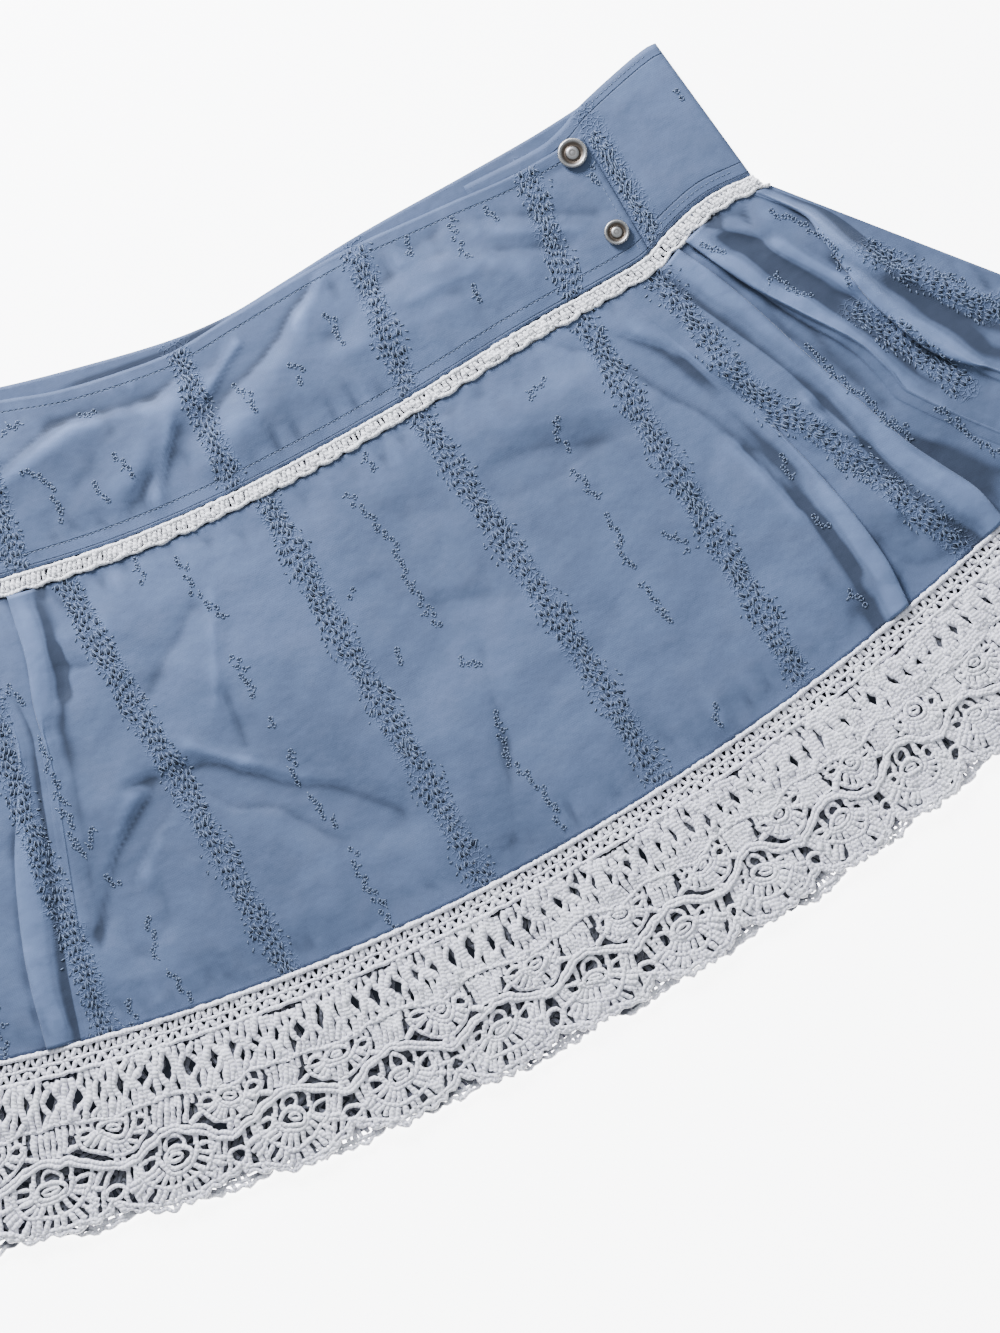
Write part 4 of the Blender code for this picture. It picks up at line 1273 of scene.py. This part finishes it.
def shell_strands(repeat, chance):
    """The upper shell, hung from a rosette at the start of the repeat, and the wavy ridge under it."""
    def limit(u):
        return ridge_depth(u) - 2.0

    strands = []
    strands += ring_strand(repeat, 0.0, 42.8, 5.6, 3.7, 1.05, 0.75)
    strands += ring_strand(repeat, 0.0, 42.6, 2.6, 1.3, 0.95, 0.8)
    for side in (-0.22, 0.22):
        strands += ring_strand(repeat, side, 43.0, 3.1, 2.4, 1.0, 0.55)
    strands += fan_arc(repeat, 0.0, SHELL_HUB, 8.6, 1.5, 1.05, 0.6, limit)
    strands += fan_ribs(repeat, 0.0, SHELL_HUB, 9.6, 14.4, 13, 1.45, 1.3, 0.4, limit, chance)
    strands += fan_arc(repeat, 0.0, SHELL_HUB, 15.4, 1.42, 1.0, 0.5, limit)
    strands += fan_ribs(repeat, 0.0, SHELL_HUB, 16.2, 21.0, 18, 1.4, 1.35, 0.35, limit, chance)
    for u in (0.36, 0.41, 0.46, 0.51, 0.56, 0.61):
        strands += repeat.strand([(u, 38.0, 0.2), (u + 0.01, 43.0, 0.5), (u, 49.0, 0.2)], chance.uniform(1.0, 1.35))
    for n in range(16):
        u = (n + 0.5) / 16 + chance.uniform(-0.01, 0.01)
        strands += repeat.strand([(u, 37.2, 0.2), (u + 0.015, 39.4, 0.5), (u + 0.01, 41.6, 0.2)], 1.0)
    places = [(n / 20, 36.9 + 1.2 * math.cos(n / 20 * math.tau), 0.65) for n in range(21)]
    strands += repeat.strand(places, 1.05)
    for offset, radius, height in ((-1.1, 1.1, 0.7), (0.9, 1.15, 0.9)):
        places = [(n / 24, ridge_depth(n / 24) + offset + 0.35 * math.sin(n * 1.9), height) for n in range(25)]
        if all(repeat.inside(place[0]) for place in places):
            strands.append(Strand([repeat.point(*place) for place in places], radius))
    return strands


def lower_fan_strands(repeat, chance):
    """The fan that hangs at the middle of the repeat, down to the knobs of its edge."""
    def limit(u):
        return edge_depth(u) - 3.2

    def free(u):
        return LACE_DEPTH

    strands = []
    strands += ring_strand(repeat, 0.5, 63.6, 6.0, 3.6, 1.05, 0.8)
    strands += ring_strand(repeat, 0.5, 63.6, 3.0, 1.3, 0.95, 0.75)
    strands += fan_arc(repeat, 0.5, FAN_HUB, 8.8, 1.75, 1.05, 0.6, free)
    strands += fan_ribs(repeat, 0.5, FAN_HUB, 9.8, 14.8, 15, 1.7, 1.25, 0.4, limit, chance)
    strands += fan_arc(repeat, 0.5, FAN_HUB, 15.9, 1.62, 1.1, 0.6, limit)
    strands += fan_ribs(repeat, 0.5, FAN_HUB, 17.0, 22.6, 20, 1.45, 1.3, 0.35, limit, chance)
    for hole in ROUND_HOLES:
        strands += ring_strand(repeat, hole.across, hole.down * LACE_DEPTH, hole.width / 2 + 0.6,
                               hole.height / 2 + 0.6, 1.0, 0.3)
    for u, lean in ((0.02, 0.02), (0.07, 0.02), (0.13, 0.03), (0.19, 0.02), (0.81, -0.02), (0.87, -0.03), (0.93, -0.02),
                    (0.98, -0.02)):
        low = edge_depth(u) - 2.5
        strands += repeat.strand([(u, ridge_depth(u) + 1.0, 0.3), (u + lean, 69.0, 0.2), (u + lean, 73.5, 0.4),
                                  (u + lean * 2, low, 0.2)], 1.15)
    for side in (0.34, 0.66):
        strands += repeat.strand([(side, ridge_depth(side) + 1, 0.4), (side + 0.01, 56.5, 0.2), (side, 60.5, 0.3)], 1.1)
    steps = 6 * KNOBS
    edge = []
    inner = []
    for n in range(steps + 1):
        u = n / steps
        bump = 0.5 + 0.5 * math.cos(u * KNOBS * math.tau)
        edge.append((u, edge_depth(u, 0.9 + 1.9 * bump), 0.35 + 0.12 * math.sin(n * 1.7)))
        if n % 3 == 0:
            inner.append((u, edge_depth(u, 4.2 + 0.3 * math.sin(n * 0.8)), 0.55))
    for places, radius in ((edge, 1.1), (inner, 1.05)):
        places = [place for place in places if repeat.inside(place[0])]
        if len(places) > 3:
            strands.append(Strand([repeat.point(*place) for place in places], radius))
    for n in range(KNOBS):
        u = (n + 0.5) / KNOBS
        strands += repeat.strand([(u - 0.01, edge_depth(u, 4.4), 0.3), (u, edge_depth(u, 2.9), 0.75),
                                  (u + 0.01, edge_depth(u, 1.6), 0.4)], 1.2)
    return strands


def lace_header(level, seed):
    chance = random.Random(seed)
    strands = [rail(0.9, 1.15, level + 0.75), rail(6.7, 0.8, level + 0.45, 0.2), rail(12.2, 1.05, level + 0.65, 0.3)]
    strands += stitch_row(2.4, 6.2, 2.75, 0.98, level + 0.3, 0.22, chance)
    strands += stitch_row(7.4, 11.4, 2.9, 1.05, level + 0.3, 0.3, chance)
    return strands


def lace_repeats(windows, shift, drop, level, seed):
    """The strands of all repeats: the row of posts with the shells, and the lower fans."""
    chance = random.Random(seed)
    bounds = fan_bounds()
    upper, lower = [], []
    holes = windows + ROUND_HOLES
    edges = [(2 * bounds[0] - bounds[1], bounds[0]), *zip(bounds, bounds[1:])]
    for start, end in edges:
        repeat = Repeat(start, end, shift, drop, level, holes)
        upper += window_strands(repeat, windows, chance)
        upper += shell_strands(repeat, chance)
        lower += lower_fan_strands(repeat, chance)
    return upper, lower


def fan_depth(bounds, across, shift):
    """Depth of the scalloped edge at a place across the lace."""
    n = 0
    while n < len(bounds) - 2 and across > bounds[n + 1] + shift * (bounds[n + 1] - bounds[n]):
        n += 1
    return edge_depth((across - bounds[n]) / (bounds[n + 1] - bounds[n]) - shift)


def covered_outline():
    """Outline of the floor that the skirt covers, a little in from its edges."""
    steps = 20
    bounds = fan_bounds()

    def side(part, across):
        line = [yoke_back_point(part, n / steps) for n in range(1, steps)]
        line += [skirt_point(SEAM_BACK, across, n / steps) for n in range(1, steps)]
        line += [lace_point(across, n / steps * 0.88) for n in range(steps)]
        return [(x * 0.985, y) for x, y in line]

    hem = []
    for n in range(401):
        across = (n / 200 - 1) * 0.98
        depth = max(fan_depth(bounds, across, 0.0), fan_depth(bounds, across, BACK_SHIFT)) - 4.5
        hem.append(lace_point(across, depth / LACE_DEPTH))
    waist = [(x * 0.985, y - 4) for x, y in (yoke_back_point(1 - n / 40, 0.0) for n in range(41))]
    return side(0.0, -1.0) + hem + side(1.0, 1.0)[::-1] + waist


def edging_strands(seam, level, seed):
    """The narrow crochet edging: a straight cord, a row of loops and a scalloped cord."""
    chance = random.Random(seed)
    step = 1.5
    count = int(2 * SEAM_HALF / step)
    strands = []

    def at(across, down, height):
        x = mix(SEAM_HALF, SKIRT_TOP_HALF, 0.9 * min(down / EDGING_DEPTH, 1.0)) * across
        return x, along(seam, SEAM_HALF * across) - SEAM_GAP - down, level + height

    cord = [at(2 * n / count - 1, 1.0 + 0.12 * math.sin(n * 1.7), 0.55) for n in range(count + 1)]
    strands.append(Strand(cord, 1.0))
    edge, u = [], -1.0
    while u < 1.0:
        pitch = chance.uniform(10.5, 14.5) / SEAM_HALF
        deep = chance.uniform(0.9, 1.7)
        for n in range(7):
            part = n / 7
            edge.append(at(min(u + pitch * part, 1.0), EDGING_DEPTH - 0.9 + deep * math.sin(math.pi * part), 0.3))
        u += pitch
    strands.append(Strand(edge, 1.05))
    pitch = 2.5
    for n in range(int(2 * SEAM_HALF / pitch)):
        across = (n + 0.5) * pitch / SEAM_HALF - 1
        lean = chance.uniform(-0.5, 0.5) / SEAM_HALF
        strands.append(Strand([at(across - lean, 1.8, 0.3), at(across, 4.2 + chance.uniform(-0.4, 0.4), 0.8),
                               at(across + lean, 6.5, 0.3)], chance.uniform(0.85, 1.3)))
    return strands


def turned_piece(name, x, y, base, profile, steps, material):
    """A cap turned from a profile of radius, height and patina, closed at its middle above and below."""
    vertices = [place_point(x, y, base + profile[0][1])]
    patina = [profile[0][2]]
    for radius, height, stain in profile[1:]:
        for n in range(steps):
            turn = n / steps * math.tau
            vertices.append(place_point(x + radius * math.cos(turn), y + radius * math.sin(turn), base + height))
            patina.append(stain)
    faces = [(0, 1 + n, 1 + (n + 1) % steps) for n in range(steps)]
    rings = len(profile) - 1
    for ring in range(rings - 1):
        first = 1 + ring * steps
        for n in range(steps):
            after = (n + 1) % steps
            faces.append((first + n, first + steps + n, first + steps + after, first + after))
    last = 1 + (rings - 1) * steps
    faces.append(tuple(last + n for n in range(steps))[::-1])
    piece = make_piece(name, vertices, faces, material)
    store(piece.data, "patina", patina)
    return piece


class ClothSettings(bpy.types.PropertyGroup):
    """Cloth of the yoke and the skirt."""
    thickness: bpy.props.FloatProperty(name="Cloth thickness", description="Thickness of the cotton", default=0.0005,
                                       min=0.0002, max=0.002, unit="LENGTH")
    colour: bpy.props.FloatVectorProperty(name="Cloth colour", description="Dye of the cotton", subtype="COLOR",
                                          size=3, min=0, max=1, default=(0.084, 0.119, 0.206))
    floss: bpy.props.FloatVectorProperty(name="Floss colour", description="Embroidery and topstitching thread",
                                         subtype="COLOR", size=3, min=0, max=1, default=(0.120, 0.168, 0.266))


class YarnSettings(bpy.types.PropertyGroup):
    """Crochet yarn of the lace and the edging."""
    segment: bpy.props.FloatProperty(name="Yarn segment", description="Length of one straight part of a strand, in mm",
                                     default=1.5, min=0.6, max=4.0)
    sides: bpy.props.IntProperty(name="Yarn sides", description="Sides of a strand's section", default=6, min=3, max=12)
    wobble: bpy.props.FloatProperty(name="Wobble", description="How far a strand strays, in mm", default=0.8, min=0.0,
                                    max=2.0)
    lace: bpy.props.FloatVectorProperty(name="Lace colour", description="Colour of the hem's cotton", subtype="COLOR",
                                        size=3, min=0, max=1, default=(0.88, 0.86, 1.0))
    edging: bpy.props.FloatVectorProperty(name="Edging colour", description="Colour of the edging's cotton",
                                          subtype="COLOR", size=3, min=0, max=1, default=(0.98, 0.945, 1.0))


class SnapSettings(bpy.types.PropertyGroup):
    """Snap caps of the wrap."""
    metal: bpy.props.FloatVectorProperty(name="Snap colour", description="Antique nickel", subtype="COLOR", size=3,
                                         min=0, max=1, default=(0.37, 0.362, 0.35))
    patina: bpy.props.FloatVectorProperty(name="Patina", description="Brown of the ring", subtype="COLOR", size=3,
                                          min=0, max=1, default=(0.12, 0.095, 0.075))
    steps: bpy.props.IntProperty(name="Steps", description="Faces round a cap", default=48, min=12, max=96)


class StageSettings(bpy.types.PropertyGroup):
    """Floor, lights and camera."""
    height: bpy.props.FloatProperty(name="Camera height", description="Height of the camera", default=1.7, min=0.5,
                                    max=5.0, unit="LENGTH")
    view: bpy.props.FloatProperty(name="View height", description="What the view covers from top to bottom",
                                  default=0.64, min=0.1, max=3.0, unit="LENGTH")
    floor: bpy.props.FloatVectorProperty(name="Floor colour", description="Pale floor", subtype="COLOR", size=3,
                                         min=0, max=1, default=(0.93, 0.93, 0.93))


class SkirtSettings(bpy.types.PropertyGroup):
    """Everything that a user would change on the skirt."""
    cloth: bpy.props.PointerProperty(type=ClothSettings, name="Cloth")
    yarn: bpy.props.PointerProperty(type=YarnSettings, name="Yarn")
    snap: bpy.props.PointerProperty(type=SnapSettings, name="Snaps")
    stage: bpy.props.PointerProperty(type=StageSettings, name="Stage")


def settings():
    return bpy.context.scene.eyelet_skirt


def material_of(name, make, *values):
    return bpy.data.materials.get(name) or make(name, *values)


def cloth_material():
    return material_of("eyelet_cloth_dyed", cloth_paint, tuple(settings().cloth.colour))


def floss_material():
    return material_of("floss", thread_paint, tuple(settings().cloth.floss))


def group_of(name, make):
    return bpy.data.node_groups.get(name) or make()


def embroider(name, slits, bars, ground, sides):
    """The slits and the raised threads of a panel, as two pieces on its ground."""
    group = group_of("stitches", make_stitch_group)
    # The slits are flat dark discs of painted shade
    dark = material_of("slit_shadow", plain_paint, SLIT_SHADOW, 0.9)
    pieces = [make_stitches(name + "_slits", slits, ground, group, 7, 2, dark),
              make_stitches(name + "_embroidery", bars, ground, group, sides, 4, floss_material())]
    for piece in pieces:
        hand_over(piece, "eyelet_cloth")
    return pieces


class SKIRT_OT_back_panels(bpy.types.Operator):
    """Make the back of the skirt and of the yoke"""
    bl_idname = "skirt.back_panels"
    bl_label = "Back panels"

    def execute(self, context):
        cloth = settings().cloth
        columns, rows = BACK_GRID

        def yoke(column, row):
            x, y = yoke_back_point(column / (columns - 1), row / (rows - 1))
            return x, y, BACK_LEVEL

        def skirt(column, row):
            x, y = skirt_point(SEAM_BACK, 2 * column / (columns - 1) - 1, row / (rows - 1))
            return x, y, BACK_LEVEL

        def waist_shadow(x, y):
            over = y - along(WAIST_FRONT, x)
            return (1.6 * smooth((x + 125) / 25) * smooth((-25 - x) / 20) * smooth((4.5 - over) / 4)
                    * smooth((over + 5) / 3))

        edging = bpy.data.objects["edging_back_crochet"]
        for name, place, strips, flat, shadow, trims in (
                ("yoke_back_cloth", yoke, YOKE_STRIPS, (0.446, 0.118), waist_shadow, [edging]),
                ("skirt_back_cloth", skirt, SKIRT_STRIPS, (0.730, 0.238), no_shadow, [])):
            piece = make_cloth(name, columns, rows, place, cloth_material(), cloth.thickness * 1.6, strips, shadow)
            hand_over(piece, "eyelet_cloth", name[:-len("_cloth")])
            panel_area(piece)
            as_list(trims)
        return {"FINISHED"}


class SKIRT_OT_yoke(bpy.types.Operator):
    """Make the front yoke, which wraps over the side yoke, and its topstitching"""
    bl_idname = "skirt.yoke"
    bl_label = "Yoke"

    def execute(self, context):
        cloth = settings().cloth
        columns, rows = YOKE_GRID
        side_columns, side_rows = SIDE_YOKE_GRID

        def front(column, row):
            part, down = column / (columns - 1), row / (rows - 1)
            x, y = yoke_front_point(part, down)
            from_edge = min(min(down, 1 - down) * YOKE_DEPTH, min(part, 1 - part) * YOKE_WIDTH)
            loose = 1 - smooth((x - FLAT_START) / FLAT_REACH)
            wrap = smooth((x - WRAP_RISE_START) / (WRAP_RISE_END - WRAP_RISE_START)) * (WRAP_LEVEL - FRONT_LEVEL)
            detail = crease_height(YOKE_FINE_CREASES, x, y, FINE_SOFTNESS) * smooth(from_edge / 12) * (1 - loose)
            return x, y, FRONT_LEVEL + wrap + loose * billow(YOKE_CREASES, YOKE_FINE_CREASES, x, y, from_edge) + detail

        def side(column, row):
            part, down = column / (side_columns - 1), row / (side_rows - 1)
            x, y = yoke_side_point(part, down)
            from_edge = min(min(down, 1 - down) * YOKE_DEPTH, min(part, 1 - part) * SIDE_YOKE_WIDTH)
            open_part = smooth((x - WRAP_EDGE_BOTTOM - 3) / 12)
            return x, y, FRONT_LEVEL + open_part * smooth(from_edge / 14) * (0.5 + crumple(x, y, 26, 0.8))

        front_piece = make_cloth("yoke_front_cloth", columns, rows, front, cloth_material(), cloth.thickness,
                                 YOKE_STRIPS)
        side_piece = make_cloth("yoke_side_cloth", side_columns, side_rows, side, cloth_material(), cloth.thickness,
                                SIDE_YOKE_STRIPS)
        store_edge_distances(front_piece, yoke_front_point, columns, rows)
        store_edge_distances(side_piece, yoke_side_point, side_columns, side_rows)
        hand_over(front_piece, "eyelet_cloth", "yoke_front")
        hand_over(side_piece, "eyelet_cloth", "yoke_side")
        ground = ground_of((front_piece, side_piece), cloth.thickness)
        seams = []
        for line, away, places in ((WAIST_FRONT, -TOPSTITCH_WAIST, range(-206, 158, 14)),
                                   (SEAM_FRONT, TOPSTITCH_SEAM, range(-216, 156, 14)),
                                   (WAIST_SIDE, -3.0, range(164, 211, 6)),
                                   (SEAM_FRONT, 5.0, range(166, 220, 6))):
            seams += seam_stitches([(x, along(line, x) + away) for x in places])
        seams += seam_stitches([(WRAP_EDGE_TOP - TOPSTITCH_WRAP, 70), (WRAP_EDGE_BOTTOM - TOPSTITCH_WRAP, 12)])
        stitched = make_stitches("yoke_topstitching", seams, ground, group_of("stitches", make_stitch_group), 6, 4,
                                 floss_material())
        hand_over(stitched, "eyelet_cloth")
        strips = [(line, YOKE_STRIP_WIDTH) for line in YOKE_STRIPS]
        strips += [(line, SIDE_STRIP_WIDTH) for line in SIDE_YOKE_STRIPS]
        slits, bars = embroidery(strips, YOKE_SPRIGS, 11)
        slits, bars = [s for s in slits if in_yoke(s)], [s for s in bars if in_yoke(s)]
        embroidered = embroider("yoke", slits, bars, ground, 6)
        panel_area(front_piece)
        panel_area(side_piece)
        return {"FINISHED"}


class SKIRT_OT_front_panel(bpy.types.Operator):
    """Make the pleated front of the skirt"""
    bl_idname = "skirt.front_panel"
    bl_label = "Front panel"

    def execute(self, context):
        cloth = settings().cloth
        sections = [skirt_section(row / (SKIRT_ROWS - 1)) for row in range(SKIRT_ROWS)]

        def place(column, row):
            x, height = sections[row][column]
            down = row / (SKIRT_ROWS - 1)
            half = skirt_half(down)
            x, y = skirt_point(SEAM_FRONT, x / half, down)
            from_edge = min(down * SKIRT_DEPTH, (1 - down) * SKIRT_DEPTH, half - abs(x))
            return x, y, SKIRT_LEVEL + height + billow(SKIRT_CREASES, SKIRT_FINE_CREASES, x, y, from_edge)

        piece = make_cloth("skirt_front_cloth", len(sections[0]), SKIRT_ROWS, place, cloth_material(), cloth.thickness,
                           SKIRT_STRIPS)
        hand_over(piece, "eyelet_cloth", "skirt_front")
        slits, bars = embroidery([(line, SKIRT_STRIP_WIDTH) for line in SKIRT_STRIPS], SKIRT_SPRIGS, 5)
        embroidered = embroider("skirt", slits, bars, ground_of((piece,), cloth.thickness), 5)
        area = panel_area(piece)
        max(0.238, area / 0.790)
        return {"FINISHED"}


class SKIRT_OT_edging(bpy.types.Operator):
    """Crochet the narrow edging under the yoke, front and back"""
    bl_idname = "skirt.edging"
    bl_label = "Edging"

    def execute(self, context):
        yarn = settings().yarn
        # Painted shade on the edging's strands below 1.4 mm, fading out by 2.3 mm
        cotton = material_of("edging_yarn", yarn_paint, tuple(yarn.edging), 1.7 * MM, 1.0, 1.4, 2.3)
        group = group_of("yarn", make_yarn_group)
        for name, seam, level, segment, rest in (("edging_front", SEAM_FRONT, EDGING_LEVEL, 1.2, EDGING_PRESSED + GAP),
                                                 ("edging_back", SEAM_BACK, EDGING_PRESSED / 2 + 0.3, 2.0, 0.0)):
            strands = edging_strands(seam, level, 21)
            if name == "edging_back":
                strands = [Strand(strand.points, strand.radius * 0.6) for strand in strands]
            piece = make_yarn(name + "_crochet", strands, group, segment, yarn.sides, yarn.wobble, cotton, rest)
            hand_over(piece, "crochet_edging", name)
        return {"FINISHED"}


class SKIRT_OT_lace(bpy.types.Operator):
    """Crochet the deep lace hem, front and back"""
    bl_idname = "skirt.lace"
    bl_label = "Lace hem"

    def execute(self, context):
        yarn = settings().yarn
        noise.seed_set(STRAY_SEED)
        # Painted shade on the front lace's strands below 2.1 mm, fading out by 3.3 mm; the back lace's copy has painted
        # shade on its upper side, under the front lace, and stays light below
        cotton = material_of("lace_yarn", yarn_paint, tuple(yarn.lace), 2.0 * MM, 1.0, 2.1, 3.3)
        shaded = material_of("lace_yarn_under", yarn_paint, tuple(yarn.lace), 2.0 * MM, 1.0, 1.2, 0.6)
        group = group_of("yarn", make_yarn_group)
        upper, lower = lace_repeats(WINDOWS, 0.0, 0.0, LACE_LEVEL, 3)
        shells = make_yarn("lace_front_shells", lace_header(LACE_LEVEL, 4) + upper, group, yarn.segment, yarn.sides,
                           yarn.wobble, cotton, LACE_REST)
        fans = make_yarn("lace_front_fans", lower, group, yarn.segment, yarn.sides, yarn.wobble, cotton, LACE_REST)
        hand_over(fans, "crochet_lace")
        hand_over(shells, "crochet_lace", "lace_front")
        upper, lower = lace_repeats(BACK_WINDOWS, BACK_SHIFT, BACK_DROP, CROCHET / 2, 8)
        strands = [Strand([(x, y, min(max(z, BACK_YARN_LOW), BACK_YARN_HIGH)) for x, y, z in strand.points],
                          min(strand.radius, BACK_YARN_RADIUS))
                   for strand in lace_header(CROCHET / 2, 9) + upper + lower]
        back = make_yarn("lace_back_crochet", strands, group, 2.2, 5, yarn.wobble * 0.4, shaded, 0.0)
        hand_over(back, "crochet_lace", "lace_back")
        return {"FINISHED"}


class SKIRT_OT_snaps(bpy.types.Operator):
    """Turn the two snap caps"""
    bl_idname = "skirt.snaps"
    bl_label = "Snap caps"

    def execute(self, context):
        snap = settings().snap
        metal = material_of("antique_nickel", metal_paint, tuple(snap.metal), tuple(snap.patina))
        base = WRAP_LEVEL + CLOTH / 2
        for cap in SNAPS:
            profile = [(r * cap.radius, h, p) for r, h, p in (
                (0.0, 2.35, 0.3), (0.14, 2.33, 0.3), (0.17, 2.28, 0.7), (0.2, 2.34, 0.5), (0.3, 2.3, 0.1),
                (0.4, 2.1, 0.2), (0.46, 1.6, 0.8), (0.5, 1.25, 1.0), (0.58, 1.2, 1.0), (0.66, 1.45, 0.9),
                (0.74, 1.9, 0.6), (0.8, 2.3, 0.2), (0.86, 2.55, 0.0), (0.92, 2.5, 0.0), (0.97, 2.2, 0.1),
                (1.0, 1.6, 0.3), (1.0, 0.9, 0.6), (0.97, 0.3, 0.9))]
            piece = turned_piece(cap.name + "_cap", cap.x, cap.y, base, profile, snap.steps, metal)
            hand_over(piece, "snap_metal", cap.name)
        return {"FINISHED"}


class SKIRT_OT_stage(bpy.types.Operator):
    """Lay the floor and set the lights and the camera"""
    bl_idname = "skirt.stage"
    bl_label = "Stage"

    def execute(self, context):
        stage = settings().stage
        floor = make_piece("floor", [(-4, -4, -0.0004), (4, -4, -0.0004), (4, 4, -0.0004), (-4, 4, -0.0004)],
                           [(0, 1, 2, 3)], floor_paint("pale_floor", tuple(stage.floor)))
        # A dark patch of painted shade on the floor under the skirt, a little in from its edges
        outline = [place_point(x, y, -0.2) for x, y in covered_outline()]
        shaded = make_piece("floor_under", outline, [tuple(range(len(outline)))],
                            plain_paint("floor_in_shade", FLOOR_SHADE, 0.95))
        up = Vector((0.468, 0.884, 0.0))
        right = Vector((0.884, -0.468, 0.0))
        centre = Vector(place_point(6.3, -131.8, 0))
        for name, away, size, power in (("key", up * 1.12 - right * 0.82 + Vector((0, 0, 0.66)), 0.45, 80.0),
                                        ("fill", -up * 0.9 + right * 0.9 + Vector((0, 0, 1.5)), 1.8, 4.0)):
            light = bpy.data.lights.new(name, "AREA")
            light.size = size
            light.energy = power
            light.color = LAMP_COLOUR
            lamp = link(name, light)
            lamp.location = centre + away
            lamp.rotation_euler = (-away).to_track_quat("-Z", "Y").to_euler()
        world = bpy.data.worlds.new("studio")
        world.use_nodes = True
        background = world.node_tree.nodes["Background"]
        background.inputs["Color"].default_value = WORLD_COLOUR
        background.inputs["Strength"].default_value = WORLD_STRENGTH
        context.scene.world = world
        camera = bpy.data.cameras.new("camera")
        camera.sensor_fit = "VERTICAL"
        camera.sensor_height = 24.0
        camera.lens = camera.sensor_height * stage.height / stage.view
        eye = link("camera", camera)
        eye.location = centre + Vector((0, 0, stage.height))
        eye.rotation_euler = Euler((0, 0, math.atan2(right.y, right.x)))
        context.scene.camera = eye
        return {"FINISHED"}


OPERATORS = (SKIRT_OT_stage, SKIRT_OT_edging, SKIRT_OT_back_panels, SKIRT_OT_yoke, SKIRT_OT_front_panel, SKIRT_OT_lace,
             SKIRT_OT_snaps)


class SKIRT_PT_panel(bpy.types.Panel):
    """Settings and steps of the eyelet skirt"""
    bl_idname = "SKIRT_PT_panel"
    bl_label = "Eyelet skirt"
    bl_space_type = "VIEW_3D"
    bl_region_type = "UI"
    bl_category = "Eyelet skirt"

    def draw(self, context):
        for part in (settings().cloth, settings().yarn, settings().snap, settings().stage):
            box = self.layout.box()
            for name in part.__annotations__:
                box.prop(part, name)
        for operator in OPERATORS:
            self.layout.operator(operator.bl_idname)


CLASSES = (ClothSettings, YarnSettings, SnapSettings, StageSettings, SkirtSettings, *OPERATORS, SKIRT_PT_panel)


def register():
    for cls in CLASSES:
        bpy.utils.register_class(cls)
    bpy.types.Scene.eyelet_skirt = bpy.props.PointerProperty(type=SkirtSettings)


def unregister():
    del bpy.types.Scene.eyelet_skirt
    for cls in reversed(CLASSES):
        bpy.utils.unregister_class(cls)


def main():
    register()
    bpy.ops.skirt.stage()
    bpy.ops.skirt.edging()
    bpy.ops.skirt.back_panels()
    bpy.ops.skirt.yoke()
    bpy.ops.skirt.front_panel()
    bpy.ops.skirt.lace()
    bpy.ops.skirt.snaps()


if __name__ == "__main__":
    main()
